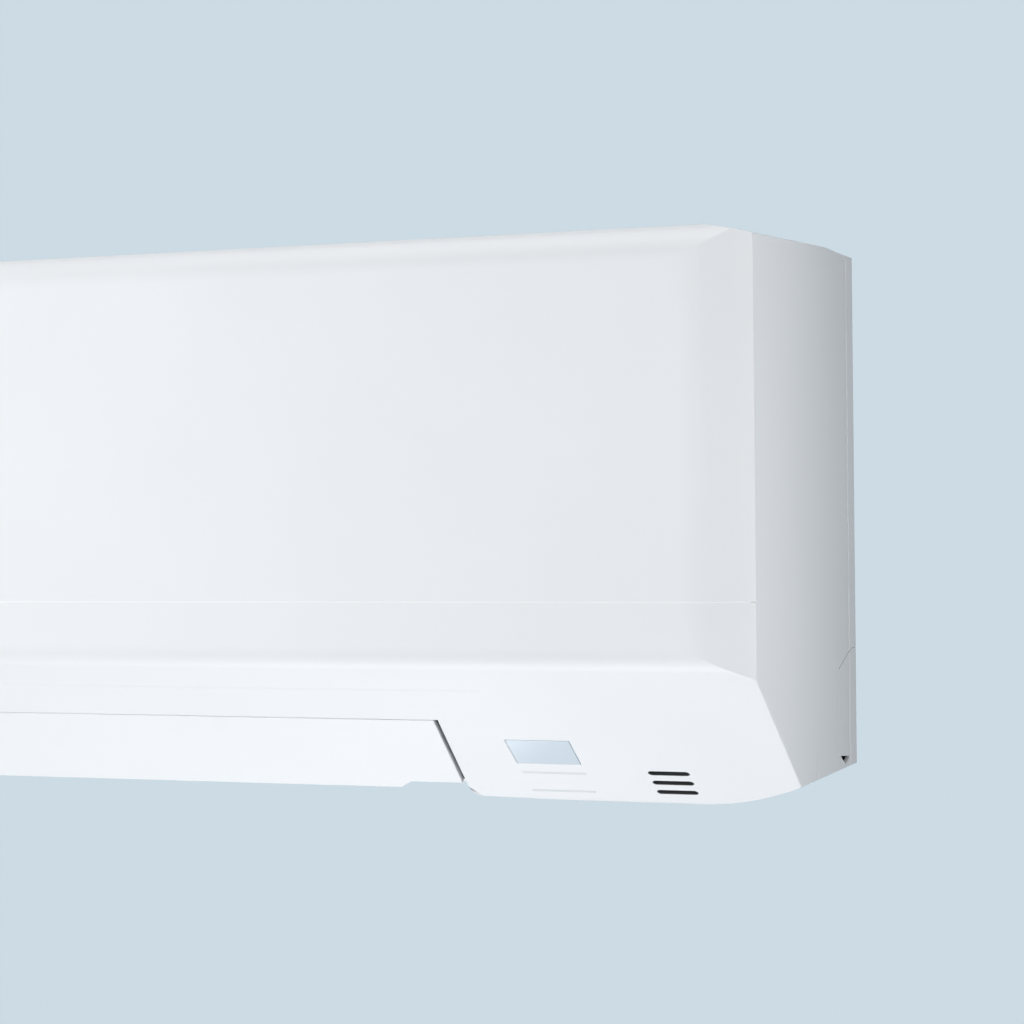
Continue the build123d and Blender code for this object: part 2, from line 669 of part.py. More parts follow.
# ---- Side-to-side vanes and their link rods ----
vane_plate = 1.6
plate_from, plate_to = 53.6, 124.0
rod_s = 88.0
rod_thick = 2.4
banks = (("left", 0, air_vanes // 2), ("right", air_vanes // 2, air_vanes))
for bank, first, last in banks:
    for index in range(first, last):
        x = air_vane_first + index * air_vane_pitch
        is_middle = index == (first + last - 1) // 2
        with BuildPart() as air_vane:
            outline = flat([
                (plate_from + 4, 34), (plate_to - 6, 34), (plate_to, 40), (plate_to - 3, 56),
                (plate_to - 10, 60), (plate_from + 3, 60), (plate_from, 54), (plate_from, 40),
            ])
            prism(outline, x - vane_plate / 2, x + vane_plate / 2)
            notch = flat([
                (rod_s - 0.8, 30), (rod_s + rod_thick + 0.8, 30),
                (rod_s + rod_thick + 0.8, 46), (rod_s - 0.8, 46),
            ])
            prism(notch, x - 5, x + 5, mode=Mode.SUBTRACT)
            if is_middle:
                # A tab to set the bank by hand.
                tab = flat([(104, 31.5), (112, 31.5), (113, 36), (103, 36)])
                prism(tab, x - 1.6, x + 1.6)
            with BuildSketch(across_slope(44.2)):
                with Locations((x, -air_vane_axis)):
                    Circle(air_pin_r)
            extrude(amount=plate_from + 1 - 44.2)
            with BuildSketch(across_slope(rod_s - 2.5)):
                with Locations((x, -link_axis)):
                    Circle(link_pin_r)
            extrude(amount=rod_thick + 5)
        save(air_vane, f"air_vane_{bank}_{index - first + 1}")

    with BuildPart() as link_rod:
        x_from = air_vane_first + first * air_vane_pitch - 7
        x_to = air_vane_first + (last - 1) * air_vane_pitch + 7
        bar = flat([
            (rod_s, link_axis - 3.5), (rod_s + rod_thick, link_axis - 3.5),
            (rod_s + rod_thick, link_axis + 5.5), (rod_s, link_axis + 5.5),
        ])
        prism(bar, x_from, x_to)
        with BuildSketch(across_slope(rod_s - 1)):
            for index in range(first, last):
                x = air_vane_first + index * air_vane_pitch
                with Locations((x, -link_axis - 0.8)):
                    SlotOverall(2 * (link_pin_r + link_play) + 1.8, 2 * (link_pin_r + link_play), rotation=90)
        extrude(amount=rod_thick + 2, mode=Mode.SUBTRACT)
    save(link_rod, f"link_rod_{bank}")

# ---- Chassis ----
chassis_sheet = 2.5
back_face = 11.5
trough_floor = 158.0
scroll_top = (-fan_depth + 51.5, 168.0)
scroll_mid = (-fan_depth + 55.5, 122.0)
scroll_low = (-fan_depth + 37, 72.0)
channel_roof = 62.0
fan_end_left = (outlet_left - 9.5, outlet_left - 7)
fan_end_right = (outlet_right + end_wall, outlet_right + end_wall + 2.5)
bearing_r = 8.0
holder_r = 13.0
saddles = (motor_left - saddle, motor_left + motor_length)
hook_x = plate_x - 120
hook_z = plate_high - 14
hook_width = 40.0
with BuildPart() as chassis:
    block((-half_width + 8, half_width - 14), (-back_face - chassis_sheet, -back_face),
          (channel_roof, case_height - skin - 0.6))
    # Ribs that space the back from the wall.
    rim_ribs = (-plate_x + 60, 0, plate_x - 60)
    for x in (-half_width + 29.5, *rim_ribs, half_width - 34.5):
        block((x - 1.2, x + 1.2), (-back_face - 1, -plate_thickness - 0.3), (channel_roof, case_height - 10))
    # Rear drain trough under the rear fin pack.
    trough = [(-back_face - 1, trough_floor + 3), (-fan_depth + 64, trough_floor), scroll_top]
    wall(trough, chassis_sheet, fan_end_left[1] - 0.5, fan_end_right[0] + 0.5, side=Side.RIGHT)
    # Scroll wall behind the fan, down to the outlet's lower lip.
    with BuildSketch(Plane.YZ.offset(fan_end_left[1] - 0.5)):
        with BuildLine():
            curve = ThreePointArc(scroll_top, scroll_mid, scroll_low)
            scroll_end = (-underside_depth + 9.5, outlet_raise + skin + 1.1)
            Polyline(scroll_low, (-underside_depth + 17, 30.0), scroll_end)
            offset(amount=chassis_sheet, side=Side.LEFT)
        make_face()
    extrude(amount=fan_end_right[0] - fan_end_left[1] + 1.0)
    roof = [(scroll_low[0] + 1, scroll_low[1] + 1), (-back_face - 1, channel_roof + 2)]
    wall(roof, chassis_sheet, fan_end_left[1] - 0.5, fan_end_right[1], side=Side.RIGHT)
    # End plates beside the fan.
    around_fan = [
        (56, 172), (46, 182), (27, 192), (-23, 192), (-54, 172), (-54, 119), (-40, 113), (-28, 84), (37, 64),
    ]
    end_shape = [(-back_face - 1, channel_roof), (-back_face - 1, 172)]
    end_shape += [(-fan_depth + y, z) for y, z in around_fan]
    prism(end_shape, *fan_end_left)
    prism(end_shape, *fan_end_right)
    rod_x(fan_end_left[0], fan_end_left[1] + 6, -fan_depth, fan_height, holder_r + 3)
    rod_x(fan_end_left[0] - 1, fan_end_left[1] + 7, -fan_depth, fan_height, holder_r, mode=Mode.SUBTRACT)
    rod_x(fan_end_right[0] - 1, fan_end_right[1] + 1, -fan_depth, fan_height, 14, mode=Mode.SUBTRACT)
    # Motor saddles.
    for x in saddles:
        block((x, x + saddle), (-fan_depth - 38, -back_face - 1), (channel_roof, fan_height))
        rod_x(x - 1, x + saddle + 1, -fan_depth, fan_height, mount_ring_r, mode=Mode.SUBTRACT)
    # Rail under the motor that joins the saddles.
    block((saddles[0], saddles[1] + saddle), (-fan_depth - 38, -back_face - 1),
          (channel_roof, channel_roof + 3))
    # Slots that hang on the mounting plate's hooks.
    for x in (-hook_x, hook_x):
        block((x - hook_width / 2 - 2, x + hook_width / 2 + 2),
              (-back_face - 5, -back_face + 1), (hook_z - 9, hook_z + plate_thickness + 0.3),
              mode=Mode.SUBTRACT)
save(chassis, "chassis")

# ---- Mounting plate on the wall ----
with BuildPart() as mounting_plate:
    block((-plate_x, plate_x), (-plate_thickness, 0), (plate_low, plate_high))
    with BuildSketch(Plane.XZ):
        for side in (-1, 1):
            with Locations((side * (plate_x + 70) / 2, 140)):
                RectangleRounded(plate_x - 110, 60, 8)
        with Locations((0, 212)):
            RectangleRounded(110, 36, 8)
    extrude(amount=plate_thickness, mode=Mode.SUBTRACT)
    with BuildSketch(Plane.XZ):
        with Locations((0, screw_centre_height)):
            with GridLocations(screw_spacing_x, screw_spacing_z, 2, 2):
                Circle(screw_hole_r)
    extrude(amount=plate_thickness, mode=Mode.SUBTRACT)
    # Hooks that go through the chassis and turn up behind it.
    for x in (-hook_x, hook_x):
        reach = back_face + chassis_sheet + 3.5
        span = (x - hook_width / 2, x + hook_width / 2)
        block(span, (-reach, 0), (hook_z, hook_z + plate_thickness))
        block(span, (-reach, -reach + plate_thickness), (hook_z, hook_z + 8))
    # Folded rims stiffen the long edges.
    block((-plate_x, plate_x), (-7, 0), (plate_high - plate_thickness, plate_high))
    block((-plate_x, plate_x), (-7, 0), (plate_low, plate_low + plate_thickness))
    # Gaps in the rims where the chassis ribs pass.
    for x in rim_ribs:
        block((x - 3, x + 3), (-8, -plate_thickness), (plate_low - 1, plate_high + 1), mode=Mode.SUBTRACT)
save(mounting_plate, "mounting_plate")

# ---- Cross-flow fan, shafts, bearing ----
hub_r = 9.0
blade_chord = 11.4
with BuildPart() as cross_flow_fan:
    with BuildSketch(Plane.YZ.offset(fan_left)):
        with Locations((-fan_depth, fan_height)):
            with PolarLocations(fan_r - 5.7, fan_blades):
                Rectangle(blade_chord, 1.2, rotation=38)
    extrude(amount=fan_right - fan_left)
    spacing = (fan_right - fan_left - 3.0) / fan_sections
    for index in range(fan_sections + 1):
        x = fan_left + index * spacing
        rod_x(x, x + 3.0, -fan_depth, fan_height, fan_r)
        if 0 < index < fan_sections:
            rod_x(x, x + 3.0, -fan_depth, fan_height, fan_r - 14, mode=Mode.SUBTRACT)
    rod_x(fan_left, fan_left + 9, -fan_depth, fan_height, hub_r)
    rod_x(fan_right - 12, fan_right + 6, -fan_depth, fan_height, hub_r)
    rod_x(fan_left - 1, fan_left + 7, -fan_depth, fan_height, shaft_r, mode=Mode.SUBTRACT)
    rod_x(fan_right - 10, fan_right + 7, -fan_depth, fan_height, shaft_r, mode=Mode.SUBTRACT)
save(cross_flow_fan, "cross_flow_fan")

with BuildPart() as fan_stub_shaft:
    rod_x(fan_end_left[1] - 2, fan_left + 7, -fan_depth, fan_height, shaft_r)
save(fan_stub_shaft, "fan_stub_shaft")

with BuildPart() as motor_shaft:
    rod_x(fan_right - 10, motor_left + motor_length - 3, -fan_depth, fan_height, shaft_r)
save(motor_shaft, "motor_shaft")

with BuildPart() as fan_bearing:
    rod_x(fan_end_left[1] - 2, fan_end_left[1] + 6, -fan_depth, fan_height, bearing_r)
    rod_x(fan_end_left[1] - 3, fan_end_left[1] + 7, -fan_depth, fan_height, shaft_r + fit,
          mode=Mode.SUBTRACT)
save(fan_bearing, "fan_bearing")

with BuildPart() as bearing_holder:
    rod_x(fan_end_left[0], fan_end_left[1] + 6, -fan_depth, fan_height, holder_r)
    rod_x(fan_end_left[1] - 2, fan_end_left[1] + 7, -fan_depth, fan_height, bearing_r, mode=Mode.SUBTRACT)
save(bearing_holder, "bearing_holder")

# ---- Fan motor in its saddles ----
with BuildPart() as fan_motor:
    rod_x(motor_left, motor_left + motor_length, -fan_depth, fan_height, motor_r)
    fillet(fan_motor.edges().filter_by(GeomType.CIRCLE), 5)
    rod_x(motor_left - saddle, motor_left + motor_length + saddle, -fan_depth, fan_height, motor_neck_r)
    rod_x(motor_left - saddle - 1, motor_left + motor_length - 2, -fan_depth, fan_height,
          shaft_r + fit, mode=Mode.SUBTRACT)
save(fan_motor, "fan_motor")

with BuildPart() as motor_mounts:
    for x in saddles:
        rod_x(x, x + saddle, -fan_depth, fan_height, mount_ring_r)
        rod_x(x, x + saddle, -fan_depth, fan_height, motor_neck_r, mode=Mode.SUBTRACT)
save(motor_mounts, "motor_mounts")

with BuildPart() as motor_cover:
    cover_top = fan_height + motor_r + 4.0
    cover_y = (-fan_depth - 26, -fan_depth + 26)
    for x in saddles:
        block((x, x + saddle), cover_y, (fan_height, cover_top))
        rod_x(x - 1, x + saddle + 1, -fan_depth, fan_height, mount_ring_r, mode=Mode.SUBTRACT)
    block((saddles[0], saddles[1] + saddle), cover_y, (cover_top - 2.5, cover_top))
save(motor_cover, "motor_cover")

# ---- Heat exchanger: three fin packs over the fan ----
# Each pack: lower end, direction of its length, length; rows lie either side of the line.
upper_room, rear_room = 104.5, 116.5     # room along the two upper packs to where they meet
packs = {
    "fin_pack_front_lower": ((-fan_depth - 82.5, 93.5), (0.0, 1.0), 98.0),
    "fin_pack_front_upper": (
        (-fan_depth - 77.5, 202.5), (0.712, 0.702), upper_room - coil_thickness / 2,
    ),
    "fin_pack_rear": ((-fan_depth + 71.5, 183.0), (-0.61, 0.793), rear_room - coil_thickness / 2),
}
pack_tubes = {"fin_pack_front_lower": 4, "fin_pack_front_upper": 5, "fin_pack_rear": 4}


def pack_frame(name):
    (y, z), (dy, dz), length = packs[name]
    return Vector(0, y, z), Vector(0, dy, dz).normalized(), length


def pack_corners(name, margin=0.0):
    # The pack's four corners in (Y, Z), grown by margin.
    foot, up, length = pack_frame(name)
    out = Vector(0, -up.Z, up.Y)
    half = coil_thickness / 2 + margin
    corners = []
    for u, v in ((-margin, -half), (length + margin, -half), (length + margin, half), (-margin, half)):
        corner = foot + up * u + out * v
        corners.append((corner.Y, corner.Z))
    return corners


def pack_row(name, offset_out):
    # Tube centres of one row, from the pack's lower end to its upper end.
    foot, up, length = pack_frame(name)
    out = Vector(0, -up.Z, up.Y)
    count = pack_tubes[name]
    first = (length - (count - 1) * tube_pitch) / 2
    return [foot + up * (first + i * tube_pitch) + out * offset_out for i in range(count)]


# The refrigerant runs along the outer row from the rear pack to the front, and back inside.
outer_row = pack_row("fin_pack_rear", -row_offset)
outer_row += pack_row("fin_pack_front_upper", row_offset)[::-1]
outer_row += pack_row("fin_pack_front_lower", row_offset)[::-1]
inner_row = pack_row("fin_pack_front_lower", -row_offset)
inner_row += pack_row("fin_pack_front_upper", -row_offset)
inner_row += pack_row("fin_pack_rear", row_offset)[::-1]
circuit = outer_row + inner_row

for name in packs:
    with BuildPart() as fin_pack:
        prism(pack_corners(name), coil_left, coil_right)
        with BuildSketch(Plane.YZ.offset(coil_left)):
            for tube in circuit:
                with Locations((tube.Y, tube.Z)):
                    Circle(tube_r)
        extrude(amount=coil_right - coil_left, mode=Mode.SUBTRACT)
    save(fin_pack, name)

for name, x in (("coil_end_plate_left", coil_left - end_plate), ("coil_end_plate_right", coil_right)):
    with BuildPart() as coil_end_plate:
        for pack in packs:
            prism(pack_corners(pack, margin=1.5), x, x + end_plate)
        with BuildSketch(Plane.YZ.offset(x - 1)):
            for tube in circuit:
                with Locations((tube.Y, tube.Z)):
                    Circle(tube_r)
        extrude(amount=end_plate + 2, mode=Mode.SUBTRACT)
    save(coil_end_plate, name)


def tube_run(start, end, x_straight, x_bend, direction):
    # A U of tube: straight legs from x_straight to x_bend, joined by a half ring.
    lift = (end - start) / 2
    turn = start + lift
    tip = Vector(x_bend + direction * lift.length, turn.Y, turn.Z)
    a, b = Vector(x_bend, start.Y, start.Z), Vector(x_bend, end.Y, end.Z)
    with BuildLine() as path:
        if x_straight != x_bend:
            Line(Vector(x_straight, start.Y, start.Z), a)
        ThreePointArc(a, tip, b)
        if x_straight != x_bend:
            Line(b, Vector(x_straight, end.Y, end.Z))
    with BuildSketch(Plane(origin=path.line @ 0, z_dir=path.line % 0)) as section:
        Circle(tube_r)
        Circle(tube_r - tube_wall, mode=Mode.SUBTRACT)
    sweep(section.sketch, path=path.line)


tube_end = coil_right + end_plate + tube_stub
with BuildPart() as coil_hairpins:
    for i in range(0, len(circuit), 2):
        tube_run(circuit[i], circuit[i + 1], tube_end, coil_left - end_plate - 1.5, -1)
save(coil_hairpins, "coil_hairpins")

with BuildPart() as return_bends:
    for i in range(1, len(circuit) - 1, 2):
        tube_run(circuit[i], circuit[i + 1], tube_end, tube_end, 1)
save(return_bends, "return_bends")

# ---- Connection pipes with insulation, unions and clamp ----
gas_y, gas_z = -38.0, 42.0
liquid_y, liquid_z = -58.0, 24.0
gas_start, liquid_start = circuit[0], circuit[-1]
gas_x, liquid_x = outlet_right + 20.5, outlet_right + 17


def pipe(start, drop_x, y, z, end, radius, wall_thickness, bend):
    # From the coil's end down beside the motor, left along the rear channel, and to its union.
    end_x, thread_length = end
    with BuildLine() as path:
        FilletPolyline(
            (tube_end, start.Y, start.Z), (drop_x, start.Y, start.Z), (drop_x, y, z),
            (end_x, y, z), (end_x, union_tip - thread_length - 2, z), radius=bend,
        )
    with BuildSketch(Plane(origin=path.line @ 0, z_dir=path.line % 0)) as section:
        Circle(radius)
        Circle(radius - wall_thickness, mode=Mode.SUBTRACT)
    sweep(section.sketch, path=path.line)


gas_thread, liquid_thread = 15.0, 13.0
with BuildPart() as gas_pipe:
    pipe(gas_start, gas_x, gas_y, gas_z, (gas_end, gas_thread), gas_r, 0.8, 8.5)
save(gas_pipe, "gas_pipe")

with BuildPart() as liquid_pipe:
    pipe(liquid_start, liquid_x, liquid_y, liquid_z, (liquid_end, liquid_thread), liquid_r, 0.7, 5.0)
save(liquid_pipe, "liquid_pipe")

unions = (
    ("gas_union", gas_end, gas_z, gas_r, 11.0, gas_thread_r, gas_thread),
    ("liquid_union", liquid_end, liquid_z, liquid_r, 8.5, liquid_thread_r, liquid_thread),
)
for name, x, z, bore, hex_r, thread_r, thread_length in unions:
    root = union_tip - thread_length
    with BuildPart() as union:
        with BuildSketch(Plane.XZ.offset(-root)):
            with Locations((x, z)):
                RegularPolygon(hex_r, 6)
        extrude(amount=union_hex)
        rod_y(x, root - 1, union_tip, z, thread_r)
        rod_y(x, root - union_hex - 1, union_tip + 1, z, bore - 0.8, mode=Mode.SUBTRACT)
        rod_y(x, root - union_hex - 1, root - 2, z, bore, mode=Mode.SUBTRACT)
    save(union, name)

foam = 6.0
lagged_pipes = (
    (gas_end + 22, gas_y, gas_z, gas_r), (liquid_end + 22, liquid_y, liquid_z, liquid_r),
)
with BuildPart() as pipe_insulation:
    for start, y, z, radius in lagged_pipes:
        rod_x(start, outlet_right - 12, y, z, radius + foam)
        rod_x(start, outlet_right - 12, y, z, radius, mode=Mode.SUBTRACT)
save(pipe_insulation, "pipe_insulation")

with BuildPart() as pipe_clamps:
    for x in (gas_end + 24, outlet_right - 57):
        clamp = [
            (-70, 12), (-52, 10), (-16, 32), (-16, channel_roof - 0.3), (-40, channel_roof + 3.2), (-70, 40),
        ]
        prism(clamp, x, x + 10)
        for _, y, z, radius in lagged_pipes:
            rod_x(x - 1, x + 11, y, z, radius + foam, mode=Mode.SUBTRACT)
save(pipe_clamps, "pipe_clamps")

# ---- Filters ----
filter_line = [
    (-filter_front, filter_bottom), (-filter_front, filter_top - 41),
    (-fan_depth - 54, filter_top), (-fan_depth + 66, filter_top),
]
filters = (("left", intake_left - 2, filter_split - 1), ("right", filter_split + 1, intake_right + 2))
for bank, x_from, x_to in filters:
    with BuildPart() as frame:
        wall(filter_line, filter_frame, x_from, x_to, side=Side.RIGHT, bend=14)
        cells = 4
        cell = (x_to - x_from - 8) / cells
        centres = [x_from + 4 + cell * (i + 0.5) for i in range(cells)]
        # Cells in the upright part and in the part under the intake.
        for x in centres:
            for z in (filter_bottom + 31, filter_bottom + 85):
                block((x - cell / 2 + 2, x + cell / 2 - 2), (-filter_front - 5, -filter_front + 8),
                      (z - 24, z + 24), mode=Mode.SUBTRACT)
            for y in (-fan_depth + 40, -fan_depth + 4, -fan_depth - 32):
                block((x - cell / 2 + 2, x + cell / 2 - 2), (y - 15, y + 15),
                      (filter_top - 8, filter_top + 8), mode=Mode.SUBTRACT)
        # Grip tab at the lower edge.
        middle = (x_from + x_to) / 2
        block((middle - 18, middle + 18), (-filter_front - 2.4, -filter_front + 1),
              (filter_bottom, filter_bottom + 5))
    save(frame, f"filter_frame_{bank}")
    with BuildPart() as mesh:
        wall(filter_line, filter_frame + mesh_thickness, x_from + 1, x_to - 1, side=Side.RIGHT, bend=14)
        wall(filter_line, filter_frame, x_from - 1, x_to + 1, side=Side.RIGHT, bend=14, mode=Mode.SUBTRACT)
    save(mesh, f"filter_mesh_{bank}")

# ---- Electrical box ----
box_x = (half_width - 81.5, half_width - 13.5)
box_y = (-case_depth + 32, -case_depth + 108)
box_z = (96.0, 256.0)
with BuildPart() as electrical_box:
    block(box_x, box_y, box_z)
    block((box_x[0] + 2, box_x[1] - 2), (box_y[0] - 1, box_y[1] - 2),
          (box_z[0] + 2, box_z[1] - 2), mode=Mode.SUBTRACT)
    for x in (box_x[0] + 10, box_x[1] - 22):
        block((x, x + 3), (box_y[1], -back_face - chassis_sheet), (120, 235))
    # Posts for the circuit board.
    for x in (box_x[0] + 8, box_x[1] - 8):
        for z in (box_z[0] + 12, box_z[1] - 12):
            rod_y(x, box_y[1] - 10, box_y[1] - 2, z, 3.0)
save(electrical_box, "electrical_box")

with BuildPart() as electrical_cover:
    block(box_x, (box_y[0] - 2.5, box_y[0]), box_z)
    with BuildSketch(Plane.XZ.offset(-box_y[0] + 2.5)):
        with Locations(((box_x[0] + box_x[1]) / 2, 226)):
            with GridLocations(0, 7, 1, 5):
                SlotOverall(44, 3)
    extrude(amount=-2.5, mode=Mode.SUBTRACT)
save(electrical_cover, "electrical_cover")

board_y = box_y[1] - 10
with BuildPart() as main_board:
    block((box_x[0] + 4, box_x[1] - 4), (board_y - 1.6, board_y), (box_z[0] + 5, box_z[1] - 5))
    face = board_y - 1.6
    # Two capacitors, then the blocks: distance from the box's left side, length, height, reach.
    rod_y(box_x[0] + 18, face - 32, face + 0.5, 222, 11)
    rod_y(box_x[0] + 48, face - 22, face + 0.5, 228, 7)
    parts = [
        (38, 22, (188, 212), 18), (6, 22, (176, 200), 15), (34, 26, (140, 172), 26),
        (6, 16, (118, 164), 12), (28, 30, (108, 122), 10),
    ]
    for x, length, z_range, reach in parts:
        block((box_x[0] + x, box_x[0] + x + length), (face - reach, face + 0.5), z_range)
save(main_board, "main_board")

terminal_z = (76.0, box_z[0])
terminal_x = (box_x[0] + 4, box_x[0] + 60)
terminal_y = (box_y[0], box_y[0] + 22)
poles = [terminal_x[0] + 8 + 13.3 * i for i in range(4)]
with BuildPart() as terminal_block:
    block(terminal_x, terminal_y, terminal_z)
    for x in poles:
        rod_y(x, terminal_y[0], terminal_y[0] + 9, terminal_z[0] + 8, 1.6, mode=Mode.SUBTRACT)
        block((x - 4, x + 4), (terminal_y[0], terminal_y[0] + 6),
              (terminal_z[0] + 14, terminal_z[0] + 18), mode=Mode.SUBTRACT)
save(terminal_block, "terminal_block")

with BuildPart() as terminal_screws:
    for x in poles:
        rod_y(x, terminal_y[0] - 1.8, terminal_y[0], terminal_z[0] + 8, 3.2)
        rod_y(x, terminal_y[0] - 1, terminal_y[0] + 8, terminal_z[0] + 8, 1.6)
save(terminal_screws, "terminal_screws")

# ---- Signal window, light guides, receiver board, room sensor ----
board_depth = 12.0
with BuildPart() as signal_window:
    with BuildSketch(slope_face(0)):
        with Locations((window_x, -(window_s + window_s_end) / 2)):
            Rectangle(window_width - 0.4, window_s_end - window_s - 0.4)
    extrude(amount=-skin)
    with BuildSketch(slope_face(skin)):
        with Locations((window_x, -(window_s + window_s_end) / 2)):
            Rectangle(window_width + 3, window_s_end - window_s + 2)
    extrude(amount=-1.2)
save(signal_window, "signal_window")

with BuildPart() as light_guides:
    with BuildSketch(slope_face(0)):
        for s in guide_s:
            with Locations((window_x, -s)):
                SlotOverall(guide_width - 0.2, 1.8)
    extrude(amount=-(board_depth - 2.5))
save(light_guides, "light_guides")

with BuildPart() as receiver_board:
    with BuildSketch(slope_face(board_depth)):
        with Locations((window_x, -103.25)):
            Rectangle(49, 63)
    extrude(amount=-1.6)
    with BuildSketch(slope_face(board_depth)):
        with Locations((window_x - 7, -88)):
            Rectangle(9, 9)
        for s in guide_s:
            with Locations((window_x - 12, -s), (window_x, -s), (window_x + 12, -s)):
                Rectangle(3, 2.4)
    extrude(amount=2.2)
save(receiver_board, "receiver_board")

with BuildPart() as room_sensor:
    bead = on_slope(113, skin + 2.6)
    rod_x(vent_x - 9, vent_x + 9, bead.Y, bead.Z, 2.5)
    clip = flat([(110.6, skin), (115.4, skin), (115.4, skin + 5), (110.6, skin + 5)])
    prism(clip, vent_x - 2, vent_x + 2)
save(room_sensor, "room_sensor")
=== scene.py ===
import json
import math

import bmesh
import bpy
from mathutils import Matrix, Vector


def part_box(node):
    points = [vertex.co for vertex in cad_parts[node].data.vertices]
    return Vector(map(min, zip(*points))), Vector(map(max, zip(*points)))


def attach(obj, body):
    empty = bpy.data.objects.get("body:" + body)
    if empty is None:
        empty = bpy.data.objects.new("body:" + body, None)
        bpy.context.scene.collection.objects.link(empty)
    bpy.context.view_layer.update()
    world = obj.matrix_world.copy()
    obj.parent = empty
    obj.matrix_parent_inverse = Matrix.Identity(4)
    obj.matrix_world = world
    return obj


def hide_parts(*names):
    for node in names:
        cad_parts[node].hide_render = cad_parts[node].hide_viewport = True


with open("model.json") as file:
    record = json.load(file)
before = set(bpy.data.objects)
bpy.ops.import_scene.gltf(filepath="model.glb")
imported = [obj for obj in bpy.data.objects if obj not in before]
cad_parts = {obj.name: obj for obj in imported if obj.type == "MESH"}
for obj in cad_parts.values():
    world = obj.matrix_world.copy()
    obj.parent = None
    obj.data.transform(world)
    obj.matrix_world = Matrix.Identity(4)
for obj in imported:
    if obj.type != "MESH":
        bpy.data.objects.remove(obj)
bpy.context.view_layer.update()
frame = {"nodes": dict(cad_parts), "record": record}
nodes = frame["nodes"]
record = frame["record"]
bodyOfNode = {node: body for body, members in record["behaviour"]["bodies"].items() for node in members}
slotOfNode = {part["node"]: part["material_slot"] for part in record["subparts"]}
mm = 0.001
noiseLow, noiseHigh = 0.3, 0.7      # most values of a noise texture lie between these
print("frame loaded:", len(nodes), "nodes")


# Node trees: one call adds a node, sets its options and joins its inputs.
def addNode(tree, kind, inputs=None, **options):
    node = tree.nodes.new(kind)
    for option, value in options.items():
        setattr(node, option, value)
    for key, value in (inputs or {}).items():
        if isinstance(value, bpy.types.NodeSocket):
            tree.links.new(value, node.inputs[key])
        else:
            node.inputs[key].default_value = value
    return node


def newMaterial(name):
    material = bpy.data.materials.new(name)
    material.use_nodes = True
    tree = material.node_tree
    shader = tree.nodes["Principled BSDF"]
    where = addNode(tree, "ShaderNodeTexCoord").outputs["Object"]
    return material, tree, shader, where


def noise(tree, where, scale, detail=2.0, roughness=0.5):
    return addNode(tree, "ShaderNodeTexNoise", {
        "Vector": where, "Scale": scale, "Detail": detail, "Roughness": roughness})


def spread(tree, value, low, high):
    # Carries a noise value to the range low to high.
    return addNode(tree, "ShaderNodeMapRange", {
        "Value": value, "From Min": noiseLow, "From Max": noiseHigh,
        "To Min": low, "To Max": high}).outputs["Result"]


def twoTone(tree, value, colourA, colourB):
    ramp = addNode(tree, "ShaderNodeValToRGB", {"Fac": value})
    for element, stop, colour in zip(ramp.color_ramp.elements, (noiseLow, noiseHigh), (colourA, colourB)):
        element.position = stop
        element.color = (*colour, 1)
    return ramp.outputs["Color"]


def bump(tree, height, depth):
    return addNode(tree, "ShaderNodeBump", {
        "Height": height, "Distance": depth, "Strength": 1.0}).outputs["Normal"]


def shade(colour, factor):
    return tuple(min(1.0, part * factor) for part in colour)


# Moulded plastic: spark-eroded grain, faint flow marks and a slightly uneven gloss.
plasticLook = {"flowScale": 9.0, "detail": 3.0, "grainRoughness": 0.6, "glossSpread": 0.04}


def mouldedPlastic(name, colour, roughness, grainScale=1400.0, grainDepth=0.02, tone=0.012):
    material, tree, shader, where = newMaterial(name)
    flow = noise(tree, where, plasticLook["flowScale"], plasticLook["detail"])
    grain = noise(tree, where, grainScale, plasticLook["detail"], plasticLook["grainRoughness"])
    uneven = plasticLook["glossSpread"]
    base = twoTone(tree, flow.outputs["Fac"], shade(colour, 1 - tone), shade(colour, 1 + tone))
    tree.links.new(base, shader.inputs["Base Color"])
    tree.links.new(spread(tree, grain.outputs["Fac"], roughness - uneven, roughness + uneven),
                   shader.inputs["Roughness"])
    tree.links.new(bump(tree, grain.outputs["Fac"], grainDepth * mm), shader.inputs["Normal"])
    return material


# Rolled or drawn metal: streaks along one axis.
metalLook = {
    "across": 900.0, "along": 25.0,      # the streaks' scales
    "patchScale": 60.0, "crystalScale": 180.0, "glossSpread": 0.08, "streakDepth": 0.01,
}


def rolledMetal(name, colour, roughness, along, tone=0.06, spangle=0.0):
    material, tree, shader, where = newMaterial(name)
    stretch = [metalLook["across"]] * 3
    stretch["XYZ".index(along)] = metalLook["along"]
    drawn = addNode(tree, "ShaderNodeMapping", {"Vector": where, "Scale": stretch}).outputs["Vector"]
    streaks = noise(tree, drawn, 1.0)
    patches = noise(tree, where, metalLook["patchScale"], detail=4.0)
    uneven = metalLook["glossSpread"]
    value = streaks.outputs["Fac"]
    if spangle:
        crystals = addNode(tree, "ShaderNodeTexVoronoi", {
            "Vector": where, "Scale": metalLook["crystalScale"]})
        value = addNode(tree, "ShaderNodeMix", {
            "Factor": spangle, "A": value, "B": crystals.outputs["Distance"]},
            data_type="FLOAT").outputs["Result"]
    tree.links.new(twoTone(tree, patches.outputs["Fac"], shade(colour, 1 - tone), shade(colour, 1 + tone)),
                   shader.inputs["Base Color"])
    tree.links.new(spread(tree, value, roughness - uneven, roughness + uneven), shader.inputs["Roughness"])
    tree.links.new(bump(tree, streaks.outputs["Fac"], metalLook["streakDepth"] * mm), shader.inputs["Normal"])
    shader.inputs["Metallic"].default_value = 1.0
    return material


# Foam and rubber: dull, with open or closed pores.
softLook = {"patchScale": 40.0, "detail": 3.0, "tones": (0.85, 1.15), "glossSpread": 0.05}


